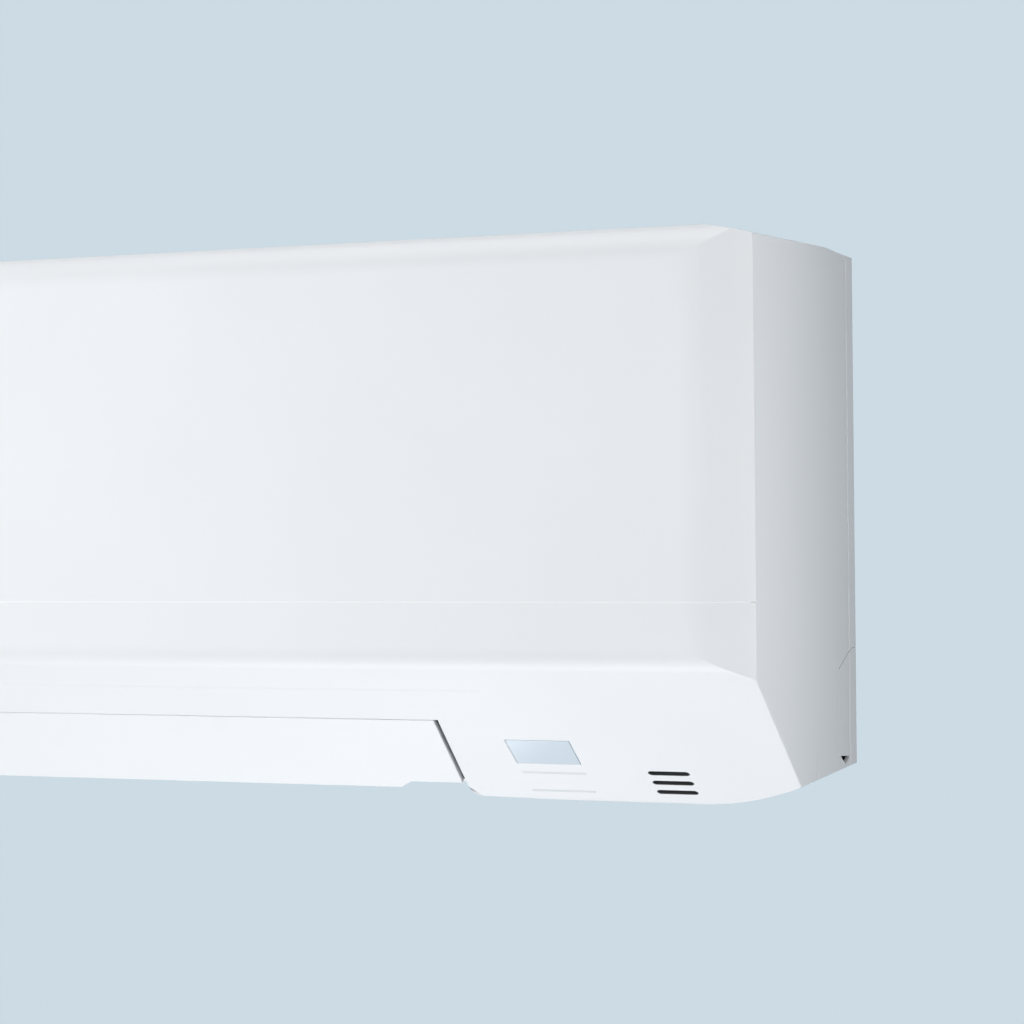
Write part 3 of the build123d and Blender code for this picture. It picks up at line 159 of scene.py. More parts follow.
def softMaterial(name, colour, roughness, poreScale, poreDepth):
    material, tree, shader, where = newMaterial(name)
    pores = addNode(tree, "ShaderNodeTexVoronoi", {"Vector": where, "Scale": poreScale})
    patches = noise(tree, where, softLook["patchScale"], softLook["detail"])
    dark, light = softLook["tones"]
    uneven = softLook["glossSpread"]
    tree.links.new(twoTone(tree, patches.outputs["Fac"], shade(colour, dark), shade(colour, light)),
                   shader.inputs["Base Color"])
    tree.links.new(spread(tree, patches.outputs["Fac"], roughness - uneven, roughness + uneven),
                   shader.inputs["Roughness"])
    tree.links.new(bump(tree, pores.outputs["Distance"], poreDepth * mm), shader.inputs["Normal"])
    return material


# Circuit board: glass-cloth laminate under green lacquer, with copper tracks showing through.
boardLook = {"trackScale": 90.0, "trackWidth": 0.03, "shadedLacquer": 0.8, "weaveScale": 2500.0,
             "gloss": (0.3, 0.42), "trackDepth": 0.05}


def boardMaterial(name, lacquer, track):
    material, tree, shader, where = newMaterial(name)
    upright = addNode(tree, "ShaderNodeMapping", {
        "Vector": where, "Rotation": (math.pi / 2, 0, 0)}).outputs["Vector"]
    tracks = addNode(tree, "ShaderNodeTexBrick", {
        "Vector": upright, "Scale": boardLook["trackScale"], "Mortar Size": boardLook["trackWidth"],
        "Color1": (*lacquer, 1), "Color2": (*shade(lacquer, boardLook["shadedLacquer"]), 1),
        "Mortar": (*track, 1)})
    weave = noise(tree, where, boardLook["weaveScale"], detail=1.0)
    tree.links.new(tracks.outputs["Color"], shader.inputs["Base Color"])
    tree.links.new(spread(tree, weave.outputs["Fac"], *boardLook["gloss"]), shader.inputs["Roughness"])
    tree.links.new(bump(tree, tracks.outputs["Fac"], boardLook["trackDepth"] * mm), shader.inputs["Normal"])
    return material


# Finishes of this object, by the record's material slots.
whitePlastic = {"colour": (0.815, 0.825, 0.845), "roughness": 0.42}
vaneWhite = {"colour": (0.83, 0.84, 0.855), "roughness": 0.38}
finishes = {
    "white_shell": mouldedPlastic("whiteShellPlastic", **whitePlastic),
    "white_vane": mouldedPlastic("vaneWhitePlastic", **vaneWhite),
    "window_tint": mouldedPlastic("tintedWindow", (0.605, 0.68, 0.75), 0.14,
                                  grainScale=300.0, grainDepth=0.004),
    "light_guide": mouldedPlastic("lightGuideAcrylic", (0.70, 0.725, 0.76), 0.2,
                                  grainScale=600.0, grainDepth=0.004),
    "inner_plastic": mouldedPlastic("innerPolystyrene", (0.62, 0.63, 0.62), 0.5, tone=0.03),
    "duct_plastic": mouldedPlastic("ductPlastic", (0.045, 0.047, 0.05), 0.5, tone=0.1),
    "fan_plastic": mouldedPlastic("glassFilledFanPlastic", (0.03, 0.031, 0.033), 0.45, tone=0.15),
    "filter_frame": mouldedPlastic("filterFramePlastic", (0.30, 0.36, 0.42), 0.45, tone=0.03),
    "filter_mesh": mouldedPlastic("filterThread", (0.10, 0.12, 0.15), 0.6, grainScale=3000.0, tone=0.05),
    "zinc_steel": rolledMetal("zincPlatedSteel", (0.60, 0.62, 0.64), 0.38, "X", spangle=0.5),
    "fins": rolledMetal("aluminiumFins", (0.72, 0.75, 0.78), 0.32, "Z"),
    "copper": rolledMetal("drawnCopper", (0.72, 0.36, 0.22), 0.30, "X", tone=0.12),
    "brass": rolledMetal("turnedBrass", (0.74, 0.56, 0.26), 0.26, "X", tone=0.05),
    "motor_shell": rolledMetal("motorShell", (0.55, 0.56, 0.58), 0.42, "X", tone=0.04),
    "rubber": softMaterial("blackRubber", (0.02, 0.02, 0.021), 0.75, 1500.0, 0.02),
    "foam": softMaterial("pipeFoam", (0.55, 0.56, 0.57), 0.9, 900.0, 0.25),
    "board": boardMaterial("circuitBoardGreen", (0.03, 0.16, 0.07), (0.07, 0.28, 0.12)),
    "box_plastic": mouldedPlastic("boxPlastic", (0.20, 0.205, 0.21), 0.5, tone=0.05),
    "bearing_metal": rolledMetal("groundShaftSteel", (0.62, 0.62, 0.63), 0.22, "X"),
}


def dress(thing, slotName):
    thing.data.materials.clear()
    thing.data.materials.append(finishes[slotName])


def place(piece, body, slotName, *replaced):
    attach(piece, body)
    if replaced:
        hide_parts(*replaced)


for nodeName, thing in nodes.items():
    dress(thing, slotOfNode[nodeName])
print("finishes on", len(nodes), "nodes")


# Soft-edged shells: a merged copy of the CAD mesh with its crisp edges broken, as a mould leaves them.
sharpFrom = math.radians(25.0)
longSeam = 20.0 * mm              # creases longer than this are rounder than the rest
bevelRoom = 1.3                   # a rounding's neighbours are longer than this many times its width
weldWithin = 0.002 * mm
flatWithin = math.radians(0.4)    # faces that turn less than this from one to the next are joined


def isSharp(edge):
    return len(edge.link_faces) == 2 and edge.calc_face_angle(0.0) > sharpFrom


def hasRoom(edge, width):
    # A rounding needs every edge that meets it to be longer than it is wide.
    neighbours = (near for end in edge.verts for near in end.link_edges if near is not edge)
    return all(near.calc_length() > bevelRoom * width for near in neighbours)


def softEdged(pieceName, nodeName, edge, creaseEdge=None, segments=2):
    mesh = nodes[nodeName].data.copy()
    mesh.name = pieceName
    form = bmesh.new()
    form.from_mesh(mesh)
    bmesh.ops.remove_doubles(form, verts=form.verts, dist=weldWithin)
    bmesh.ops.dissolve_limit(form, angle_limit=flatWithin, verts=form.verts, edges=form.edges)
    widest = max(edge, creaseEdge or 0.0)
    share = form.edges.layers.float.new("bevel_weight_edge")
    for seam in form.edges:
        if isSharp(seam):
            wanted = creaseEdge if creaseEdge and seam.calc_length() > longSeam else edge
            width = next((trial for trial in (wanted, edge, edge / 3) if hasRoom(seam, trial * mm)), 0.0)
            seam[share] = width / widest
            seam.smooth = width > 0
    form.to_mesh(mesh)
    form.free()
    for polygon in mesh.polygons:
        polygon.use_smooth = True
    piece = bpy.data.objects.new(pieceName, mesh)
    bpy.context.scene.collection.objects.link(piece)
    bevel = piece.modifiers.new("brokenEdges", "BEVEL")
    bevel.width = widest * mm
    bevel.segments = segments
    bevel.limit_method = "WEIGHT"
    bevel.use_clamp_overlap = False
    evenNormals = piece.modifiers.new("evenNormals", "WEIGHTED_NORMAL")
    evenNormals.weight = 100
    evenNormals.keep_sharp = True
    dress(piece, slotOfNode[nodeName])
    place(piece, bodyOfNode[nodeName], slotOfNode[nodeName], nodeName)


shells = {
    "frontPanelShell": {"nodeName": "front_panel", "edge": 0.35, "creaseEdge": 0.8, "segments": 3},
    "casingShell": {"nodeName": "front_grille", "edge": 0.3, "creaseEdge": 0.7},
    "outletFlap": {"nodeName": "horizontal_vane", "edge": 0.3, "creaseEdge": 0.5},
    "cornerCoverRight": {"nodeName": "corner_cover_right", "edge": 0.3, "creaseEdge": 0.7},
    "cornerCoverLeft": {"nodeName": "corner_cover_left", "edge": 0.3, "creaseEdge": 0.7},
    "chassisMoulding": {"nodeName": "chassis", "edge": 0.4},
    "signalWindowLens": {"nodeName": "signal_window", "edge": 0.25},
    "wallPlate": {"nodeName": "mounting_plate", "edge": 0.2},
}
for pieceName, shell in shells.items():
    softEdged(pieceName, **shell)
print("shells made")


# Geometry Nodes: a tree with named inputs, and a piece that is its plain-mesh result.
def newGeometryTree(name, sockets):
    tree = bpy.data.node_groups.new(name, "GeometryNodeTree")
    tree.interface.new_socket("Geometry", in_out="INPUT", socket_type="NodeSocketGeometry")
    tree.interface.new_socket("Geometry", in_out="OUTPUT", socket_type="NodeSocketGeometry")
    for label, kind in sockets.items():
        tree.interface.new_socket(label, in_out="INPUT", socket_type=kind)
    return tree, addNode(tree, "NodeGroupInput").outputs


def closeTree(tree, geometry, slotName):
    real = addNode(tree, "GeometryNodeRealizeInstances", {"Geometry": geometry})
    finished = addNode(tree, "GeometryNodeSetMaterial", {"Geometry": real.outputs["Geometry"]})
    finished.inputs["Material"].default_value = finishes[slotName]
    addNode(tree, "NodeGroupOutput", {"Geometry": finished.outputs["Geometry"]})


def math2(tree, operation, first, second):
    return addNode(tree, "ShaderNodeMath", {0: first, 1: second}, operation=operation).outputs["Value"]


def vector3(tree, x=0.0, y=0.0, z=0.0):
    return addNode(tree, "ShaderNodeCombineXYZ", {"X": x, "Y": y, "Z": z}).outputs["Vector"]


def grow(pieceName, tree, values, seed=None):
    # Runs the tree on the seed mesh and keeps the result as a plain mesh.
    carrier = bpy.data.objects.new(pieceName, seed or bpy.data.meshes.new(pieceName + "Seed"))
    bpy.context.scene.collection.objects.link(carrier)
    modifier = carrier.modifiers.new("grown", "NODES")
    modifier.node_group = tree
    identifiers = {item.name: item.identifier for item in tree.interface.items_tree if item.in_out == "INPUT"}
    for label, value in values.items():
        modifier[identifiers[label]] = value
    evaluated = carrier.evaluated_get(bpy.context.evaluated_depsgraph_get())
    mesh = bpy.data.meshes.new_from_object(evaluated)
    carrier.modifiers.remove(modifier)
    mesh.name = pieceName
    carrier.data = mesh
    return carrier


# Mesh code: rings of vertices are joined into a skin, which becomes a mesh.
def joinRings(form, rings, capped=False):
    for ring, following in zip(rings, rings[1:]):
        for step in range(len(ring)):
            onward = (step + 1) % len(ring)
            form.faces.new((ring[step], ring[onward], following[onward], following[step]))
    if capped:
        form.faces.new(rings[0])
        form.faces.new(rings[-1])


def finishMesh(form, name, sharpAngle=None):
    bmesh.ops.recalc_face_normals(form, faces=form.faces)
    mesh = bpy.data.meshes.new(name)
    form.to_mesh(mesh)
    form.free()
    if sharpAngle:
        for polygon in mesh.polygons:
            polygon.use_smooth = True
        mesh.set_sharp_from_angle(angle=math.radians(sharpAngle))
    return mesh


# A turned shape round the X axis: the closed outline is pairs of x and radius, in millimetres.
def turned(name, outline, steps=48):
    form = bmesh.new()
    turns = [2 * math.pi * step / steps for step in range(steps)]
    rings = [[form.verts.new((x * mm, radius * mm * math.cos(turn), radius * mm * math.sin(turn)))
              for turn in turns] for x, radius in outline]
    joinRings(form, rings + rings[:1])
    bmesh.ops.remove_doubles(form, verts=form.verts, dist=0.001 * mm)      # points on the axis become one
    return finishMesh(form, name, sharpAngle=35.0)


# Fin packs: a row of thin plates across each block of the coil.
finStacks = {
    "pitch": 1.6, "sheet": 0.14, "depth": 25.0,
    "packs": {    # each block's tilt from upright in degrees, and its length in millimetres
        "fin_pack_front_lower": (0.0, 98.0),
        "fin_pack_front_upper": (-45.4, 92.0),
        "fin_pack_rear": (37.57, 104.0),
    },
}


def finTree():
    tree, given = newGeometryTree("finRow", {
        "Count": "NodeSocketInt", "Pitch": "NodeSocketFloat", "Start": "NodeSocketFloat",
        "Plate": "NodeSocketVector", "Tilt": "NodeSocketFloat", "Centre": "NodeSocketVector"})
    plate = addNode(tree, "GeometryNodeMeshCube", {"Size": given["Plate"]})
    row = addNode(tree, "GeometryNodeMeshLine", {
        "Count": given["Count"], "Start Location": vector3(tree, x=given["Start"]),
        "Offset": vector3(tree, x=given["Pitch"])})
    plates = addNode(tree, "GeometryNodeInstanceOnPoints", {
        "Points": row.outputs["Mesh"], "Instance": plate.outputs["Mesh"]})
    leaning = addNode(tree, "GeometryNodeTransform", {
        "Geometry": plates.outputs["Instances"], "Translation": given["Centre"],
        "Rotation": vector3(tree, x=given["Tilt"])})
    closeTree(tree, leaning.outputs["Geometry"], "fins")
    return tree


finRow = finTree()
for nodeName, (tilt, length) in finStacks["packs"].items():
    low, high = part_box(nodeName)
    width = high[0] - low[0]
    count = int(width / (finStacks["pitch"] * mm))
    pieceName = "finStack" + nodeName.removeprefix("fin_pack").title().replace("_", "")
    piece = grow(pieceName, finRow, {
        "Count": count, "Pitch": width / count, "Start": -width / 2 + width / count / 2,
        "Plate": (finStacks["sheet"] * mm, finStacks["depth"] * mm, length * mm),
        "Tilt": math.radians(tilt), "Centre": tuple((low[axis] + high[axis]) / 2 for axis in range(3))})
    place(piece, bodyOfNode[nodeName], "fins", nodeName)
print("fin stacks made")

# Filter nets: threads along the bent path and threads across it.
filterNets = {
    "cell": 2.4, "thread": 0.14,
    "shoulderDrop": 39.3,      # the path leaves the upright this far below the top
    "shoulderRun": 48.8,       # and is level from this far behind the front
    "bend": 11.0, "bendSteps": 5,
}


def netTree():
    tree, given = newGeometryTree("filterNet", {
        "Cell": "NodeSocketFloat", "Thread": "NodeSocketFloat", "Bend": "NodeSocketFloat",
        "Bend Steps": "NodeSocketInt", "Width": "NodeSocketFloat", "Columns": "NodeSocketInt"})
    bare = addNode(tree, "GeometryNodeMeshToCurve", {"Mesh": given["Geometry"]})
    path = addNode(tree, "GeometryNodeFilletCurve", {
        "Curve": bare.outputs["Curve"], "Radius": given["Bend"], "Count": given["Bend Steps"]}, mode="POLY")
    section = addNode(tree, "GeometryNodeCurvePrimitiveCircle", {"Resolution": 4, "Radius": given["Thread"]})
    warp = addNode(tree, "GeometryNodeCurveToMesh", {
        "Curve": path.outputs["Curve"], "Profile Curve": section.outputs["Curve"], "Fill Caps": True})
    columns = addNode(tree, "GeometryNodeMeshLine", {
        "Count": given["Columns"], "Offset": vector3(tree, x=given["Cell"])})
    warps = addNode(tree, "GeometryNodeInstanceOnPoints", {
        "Points": columns.outputs["Mesh"], "Instance": warp.outputs["Mesh"]})
    stops = addNode(tree, "GeometryNodeCurveToPoints", {
        "Curve": path.outputs["Curve"], "Length": given["Cell"]}, mode="LENGTH")
    across = addNode(tree, "GeometryNodeCurvePrimitiveLine", {"End": vector3(tree, x=given["Width"])})
    weft = addNode(tree, "GeometryNodeCurveToMesh", {
        "Curve": across.outputs["Curve"], "Profile Curve": section.outputs["Curve"], "Fill Caps": True})
    wefts = addNode(tree, "GeometryNodeInstanceOnPoints", {
        "Points": stops.outputs["Points"], "Instance": weft.outputs["Mesh"]})
    both = addNode(tree, "GeometryNodeJoinGeometry")
    tree.links.new(warps.outputs["Instances"], both.inputs["Geometry"])
    tree.links.new(wefts.outputs["Instances"], both.inputs["Geometry"])
    closeTree(tree, both.outputs["Geometry"], "filter_mesh")
    return tree


filterNet = netTree()
for side in ("left", "right"):
    nodeName = "filter_mesh_" + side
    low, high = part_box(nodeName)
    inset = filterNets["thread"] * mm
    front, top = low[1] + inset, high[2] - inset
    path = [(front, low[2]), (front, top - filterNets["shoulderDrop"] * mm),
            (front + filterNets["shoulderRun"] * mm, top), (high[1], top)]
    spine = bpy.data.meshes.new(nodeName + "Spine")
    spine.from_pydata([(low[0] + inset, y, z) for y, z in path], [(0, 1), (1, 2), (2, 3)], [])
    width = high[0] - low[0] - 2 * inset
    columns = int(width / (filterNets["cell"] * mm)) + 1
    piece = grow("filterNet" + side.title(), filterNet, {
        "Cell": width / (columns - 1), "Thread": filterNets["thread"] * mm, "Bend": filterNets["bend"] * mm,
        "Bend Steps": filterNets["bendSteps"], "Width": width, "Columns": columns}, spine)
    place(piece, bodyOfNode[nodeName], "filter_mesh", nodeName)
print("filter nets made")

# Cross-flow fan: curved blades in nine sections between rings, and a hub at each end.
fanWheel = {
    "radius": 48.0, "blades": 35, "sections": 9, "ring": 3.0, "ringInner": 34.0,
    "chord": 12.0, "camber": 2.6, "lean": 38.0, "thickness": 1.0, "bladeSteps": 5,
    "tipShare": 0.35,     # a blade's thickness at its edges, as a share of that in its middle
    "stagger": 3.4,       # degrees that each section is turned from the one before
    "bladeStart": 0.9, "bladeCut": 0.8,      # the blades' start and what they lack in length, in ring widths
    "hub": 9.0, "bore": 4.0, "leftHub": 9.0, "rightHub": 12.0, "hubProud": 6.0,
    "ringEdge": 0.4, "discEdge": 0.5, "hubEdge": 0.8, "hubFillet": (1.5, 2.0),
}


def bladeMesh(length):
    # One blade, leaning on the pitch circle, with the fan's axis as its origin.
    half = fanWheel["chord"] / 2
    steps = fanWheel["bladeSteps"]
    tip = fanWheel["tipShare"]
    lean = math.radians(fanWheel["lean"])
    form = bmesh.new()
    loops = []
    for x in (0.0, length):
        loop = []
        for side in (1, -1):
            for step in range(steps + 1):
                along = side * (-half + 2 * half * step / steps)
                thin = 1 - (along / half) ** 2
                thickness = fanWheel["thickness"] / 2 * (tip + (1 - tip) * thin)
                off = fanWheel["camber"] * thin + side * thickness
                y = fanWheel["radius"] - half * math.cos(lean) + along * math.cos(lean) - off * math.sin(lean)
                z = along * math.sin(lean) + off * math.cos(lean)
                loop.append(form.verts.new((x * mm, y * mm, z * mm)))
        loops.append(loop)
    joinRings(form, loops, capped=True)
    return finishMesh(form, "fanBlade", sharpAngle=60.0)


def wheelTree():
    tree, given = newGeometryTree("fanSections", {
        "Around": "NodeSocketInt", "Along": "NodeSocketInt", "Pitch": "NodeSocketFloat",
        "Stagger": "NodeSocketFloat", "Start": "NodeSocketVector"})
    index = addNode(tree, "GeometryNodeInputIndex").outputs["Index"]
    station = math2(tree, "MODULO", index, given["Along"])
    spoke = math2(tree, "FLOOR", math2(tree, "DIVIDE", math2(tree, "ADD", index, 0.5), given["Along"]), 0.0)
    spokeAngle = math2(tree, "DIVIDE", 2 * math.pi, given["Around"])
    turn = math2(tree, "ADD", math2(tree, "MULTIPLY", spoke, spokeAngle),
                 math2(tree, "MULTIPLY", station, given["Stagger"]))
    points = addNode(tree, "GeometryNodeMeshLine", {
        "Count": math2(tree, "MULTIPLY", given["Around"], given["Along"])})
    stop = vector3(tree, x=math2(tree, "MULTIPLY", station, given["Pitch"]))
    spaced = addNode(tree, "GeometryNodeSetPosition", {"Geometry": points.outputs["Mesh"], "Position": stop})
    copies = addNode(tree, "GeometryNodeInstanceOnPoints", {
        "Points": spaced.outputs["Geometry"], "Instance": given["Geometry"],
        "Rotation": vector3(tree, x=turn)})
    placed = addNode(tree, "GeometryNodeTransform", {
        "Geometry": copies.outputs["Instances"], "Translation": given["Start"]})
    closeTree(tree, placed.outputs["Geometry"], "fan_plastic")
    return tree


fanSections = wheelTree()
low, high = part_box("cross_flow_fan")
fanAxis = ((low[1] + high[1]) / 2, (low[2] + high[2]) / 2)
fanLeft, fanRight = low[0] / mm, high[0] / mm - fanWheel["hubProud"]
sectionPitch = (fanRight - fanLeft - fanWheel["ring"]) / fanWheel["sections"]
fanBlades = grow("fanBlades", fanSections, {
    "Around": fanWheel["blades"], "Along": fanWheel["sections"], "Pitch": sectionPitch * mm,
    "Stagger": math.radians(fanWheel["stagger"]),
    "Start": (low[0] + fanWheel["ring"] * mm * fanWheel["bladeStart"], *fanAxis)},
    bladeMesh(sectionPitch - fanWheel["ring"] * fanWheel["bladeCut"]))
place(fanBlades, "fan_body", "fan_plastic", "cross_flow_fan")
width, inner, outer, soft = (fanWheel[key] for key in ("ring", "ringInner", "radius", "ringEdge"))
ringOutline = [(0.0, inner), (0.0, outer - soft), (soft, outer),
               (width - soft, outer), (width, outer - soft), (width, inner)]
fanRings = grow("fanRings", fanSections, {
    "Around": 1, "Along": fanWheel["sections"] - 1, "Pitch": sectionPitch * mm, "Stagger": 0.0,
    "Start": (low[0] + sectionPitch * mm, *fanAxis)}, turned("fanRing", ringOutline))
place(fanRings, "fan_body", "fan_plastic")


def hubOutline(inward, reach, proud):
    # End disc with its hub: inward is +1 for the left end and -1 for the right.
    thick, radius, hub, bore = (fanWheel[key] for key in ("ring", "radius", "hub", "bore"))
    discEdge, hubEdge = fanWheel["discEdge"], fanWheel["hubEdge"]
    filletAlong, filletUp = fanWheel["hubFillet"]
    outline = ((-proud, bore), (-proud, hub - hubEdge), (-proud + hubEdge if proud else 0.0, hub), (0.0, hub),
               (0.0, radius - discEdge), (discEdge, radius), (thick, radius), (thick, hub + filletUp),
               (thick + filletAlong, hub), (reach, hub), (reach, bore))
    return [(inward * x, r) for x, r in outline]


fanEnds = {      # inward, place along the fan, reach of the hub inwards, and how far it stands proud
    "fanEndLeft": (1, fanLeft, fanWheel["leftHub"], 0.0),
    "fanEndRight": (-1, fanRight, fanWheel["rightHub"], fanWheel["hubProud"]),
}
for pieceName, (inward, x, reach, proud) in fanEnds.items():
    disc = grow(pieceName, fanSections, {
        "Around": 1, "Along": 1, "Pitch": 0.0, "Stagger": 0.0, "Start": (x * mm, *fanAxis)},
        turned(pieceName, hubOutline(inward, reach, proud)))
    place(disc, "fan_body", "fan_plastic")
print("fan made")

# Screws: turned heads with a cross recess, one row for each kind.
screwRows = {
    "casingScrewHeads": {"node": "casing_screws", "count": 3, "head": 3.6, "dome": 1.8, "shank": 1.8},
    "terminalScrewHeads": {"node": "terminal_screws", "count": 4, "head": 3.2, "dome": 1.8, "shank": 1.6},
}
screwShape = {
    "crownDrop": 0.15, "crown": 0.55,        # millimetres, and a share of the head's radius
    "shoulder": (0.45, 0.92), "rim": 0.8,    # shares of the dome's height and the head's radius
    "recessWidth": 0.24, "recessDepth": 0.7,     # shares of the head's radius and the dome's height
    "tipLength": 1.5, "tipRadius": 0.3,
}


def screwTree():
    tree, given = newGeometryTree("screwRow", {
        "Count": "NodeSocketInt", "Step": "NodeSocketFloat", "Start": "NodeSocketVector",
        "Recess Length": "NodeSocketFloat", "Recess Width": "NodeSocketFloat",
        "Recess Depth": "NodeSocketFloat"})
    depth = math2(tree, "MULTIPLY", given["Recess Depth"], 2.0)
    long, narrow = given["Recess Length"], given["Recess Width"]
    bars = [addNode(tree, "GeometryNodeMeshCube", {"Size": vector3(tree, depth, *size)}).outputs["Mesh"]
            for size in ((long, narrow), (narrow, long))]
    cut = addNode(tree, "GeometryNodeMeshBoolean", {"Mesh 1": given["Geometry"]},
                  operation="DIFFERENCE", solver="EXACT")
    for bar in bars:
        tree.links.new(bar, cut.inputs["Mesh 2"])
    facing = addNode(tree, "GeometryNodeTransform", {
        "Geometry": cut.outputs["Mesh"], "Rotation": (0.0, 0.0, math.pi / 2)})
    row = addNode(tree, "GeometryNodeMeshLine", {
        "Count": given["Count"], "Start Location": given["Start"], "Offset": vector3(tree, x=given["Step"])})
    screws = addNode(tree, "GeometryNodeInstanceOnPoints", {
        "Points": row.outputs["Mesh"], "Instance": facing.outputs["Geometry"]})
    closeTree(tree, screws.outputs["Instances"], "zinc_steel")
    return tree


screwRow = screwTree()
for pieceName, screw in screwRows.items():
    low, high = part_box(screw["node"])
    head, dome, shank = screw["head"], screw["dome"], screw["shank"]
    length = (high[1] - low[1]) / mm
    shoulderDown, shoulderOut = screwShape["shoulder"]
    outline = [(0.0, 0.0), (screwShape["crownDrop"], head * screwShape["crown"]),
               (dome * shoulderDown, head * shoulderOut), (dome * screwShape["rim"], head), (dome, head),
               (dome, shank), (length - screwShape["tipLength"], shank), (length, screwShape["tipRadius"]),
               (length, 0.0)]
    span = high[0] - low[0] - 2 * head * mm
    piece = grow(pieceName, screwRow, {
        "Count": screw["count"], "Step": span / (screw["count"] - 1),
        "Start": (low[0] + head * mm, low[1], high[2] - head * mm),
        "Recess Length": head * mm, "Recess Width": head * screwShape["recessWidth"] * mm,
        "Recess Depth": dome * screwShape["recessDepth"] * mm},
        turned(pieceName, outline, steps=32))
    place(piece, bodyOfNode[screw["node"]], "zinc_steel", screw["node"])
print("screws made")

# Tray behind the three vents, round the room sensor, with a collar that lines each vent; its dark duct
# plastic is painted shade that keeps the vents dark inside.
sensorShroud = {
    "bend": (-232.0, -87.0), "slope": (113.0, 78.0),      # where the underside starts, its run and its fall
    "middle": 330.8, "width": 27.0, "along": (103.0, 133.0),
    "front": 2.45, "back": 11.0,                          # behind the slope's face
    "wall": 1.2, "draft": 0.8, "corner": 4.0, "cornerShare": 0.5, "cornerSteps": 5,
    "floorEdge": 1.0,                                     # slope between the walls and the tray's floor
    "vents": (108.0, 118.0, 128.0), "ventWidth": 22.5, "ventHeight": 4.5,
    "collarFront": 0.15, "collarBack": 2.6, "collarWall": 0.45, "collarGap": 0.02, "endRound": 0.999,
}


def roundedLoop(halfWidth, halfLength, corner, steps):
    points = []
    for turn, (x, s) in enumerate(((1, 1), (-1, 1), (-1, -1), (1, -1))):
        for step in range(steps + 1):
            angle = math.pi / 2 * (turn + step / steps)
            points.append((x * (halfWidth - corner) + corner * math.cos(angle),
                           s * (halfLength - corner) + corner * math.sin(angle)))
    return points


def shroudMesh(tray):
    run, fall = tray["slope"]
    down, into = (Vector((0, run, -fall)).normalized(), Vector((0, fall, run)).normalized())
    start = Vector((tray["middle"], *tray["bend"]))
    form = bmesh.new()

    def ringAt(centre, halfWidth, halfLength, corner, depth):
        return [form.verts.new((start + Vector((x, 0, 0)) + down * (centre + s) + into * depth) * mm)
                for x, s in roundedLoop(halfWidth, halfLength, corner, tray["cornerSteps"])]

    near, far = tray["along"]
    wall, draft, front, back = (tray[key] for key in ("wall", "draft", "front", "back"))
    edge, inner = tray["floorEdge"], wall + draft
    steps = ((inner + edge, back - wall), (inner, back - wall - edge), (wall, front), (0.0, front),
             (draft, back - edge), (draft + edge, back))
    rings = [ringAt((near + far) / 2, tray["width"] / 2 - inset, (far - near) / 2 - inset,
                    tray["corner"] - inset * tray["cornerShare"], depth) for inset, depth in steps]
    joinRings(form, rings, capped=True)
    gap, wall, front, back = (tray["collar" + key] for key in ("Gap", "Wall", "Front", "Back"))
    for vent in tray["vents"]:
        rings = []
        for inset, depth in ((gap, front), (gap, back), (wall, back), (wall, front)):
            tall = tray["ventHeight"] / 2 - inset
            rings.append(ringAt(vent, tray["ventWidth"] / 2 - inset, tall, tall * tray["endRound"], depth))
        joinRings(form, rings + rings[:1])
    return finishMesh(form, "sensorShroud", sharpAngle=50.0)


def newPiece(name, mesh, node, slotName):
    # A piece that replaces no node, on the body of the node given.
    piece = bpy.data.objects.new(name, mesh)
    bpy.context.scene.collection.objects.link(piece)
    dress(piece, slotName)
    place(piece, bodyOfNode[node], slotName)
    return piece


# The dark plastic on the tray and its collars is painted shade inside the vents.
newPiece("sensorShroud", shroudMesh(sensorShroud), "front_grille", "duct_plastic")

# Lip along the top of the band, lighter than the shell: its pale colour is a painted highlight that shows as
# a thin light line below the front panel.
seamLip = {
    "height": -57.22, "front": -231.94, "flatTo": 363.0,
    "cornerRadius": 56.9, "cornerTurn": 34.0, "cornerSteps": 8,
    "section": ((0.0, -0.36), (0.0, 0.36), (0.6, 0.05), (3.0, 0.05), (3.0, -0.05), (0.6, -0.05)),   # back, up
    # the lip's colour is lighter than the shell's white: a painted highlight along the seam
    "colour": (0.9, 0.905, 0.915), "roughness": 0.4,
}


def lipMesh(lip):
    # Follows the front and its rounded corners from the left end to the right.
    radius, steps = lip["cornerRadius"], lip["cornerSteps"]
    turns = [math.radians(lip["cornerTurn"]) * step / steps for step in range(steps + 1)]
    right = [(lip["flatTo"] + radius * math.sin(turn), radius * (1 - math.cos(turn)), turn) for turn in turns]
    path = [(-x, y, -turn) for x, y, turn in reversed(right)] + right
    form = bmesh.new()
    rings = [[form.verts.new(((x - back * math.sin(turn)) * mm,
                              (lip["front"] + y + back * math.cos(turn)) * mm,
                              (lip["height"] + up) * mm)) for back, up in lip["section"]]
             for x, y, turn in path]
    joinRings(form, rings, capped=True)
    return finishMesh(form, "seamLip")


lipPiece = newPiece("seamLip", lipMesh(seamLip), "front_grille", "white_shell")
# The lip's lighter colour is a painted highlight, not the shell's own white.
lipPiece.data.materials[0] = mouldedPlastic("paleLipPlastic", seamLip["colour"], seamLip["roughness"])

# Black rubber plate behind the drip notch of each corner cover: painted shade that keeps the notch dark,
# standing in for the shadow inside it.
dripNotchShade = {
    "outline": ((-43.0, -144.6), (-14.0, -146.6), (-14.0, -149.4),
                (-27.0, -152.8), (-31.0, -152.8), (-43.0, -149.0)),       # y and z
    "outside": 396.3, "thickness": 1.6, "edge": 0.5, "shrink": 0.06,
    "sides": {"dripSealRight": ("corner_cover_right", 1), "dripSealLeft": ("corner_cover_left", -1)},
}


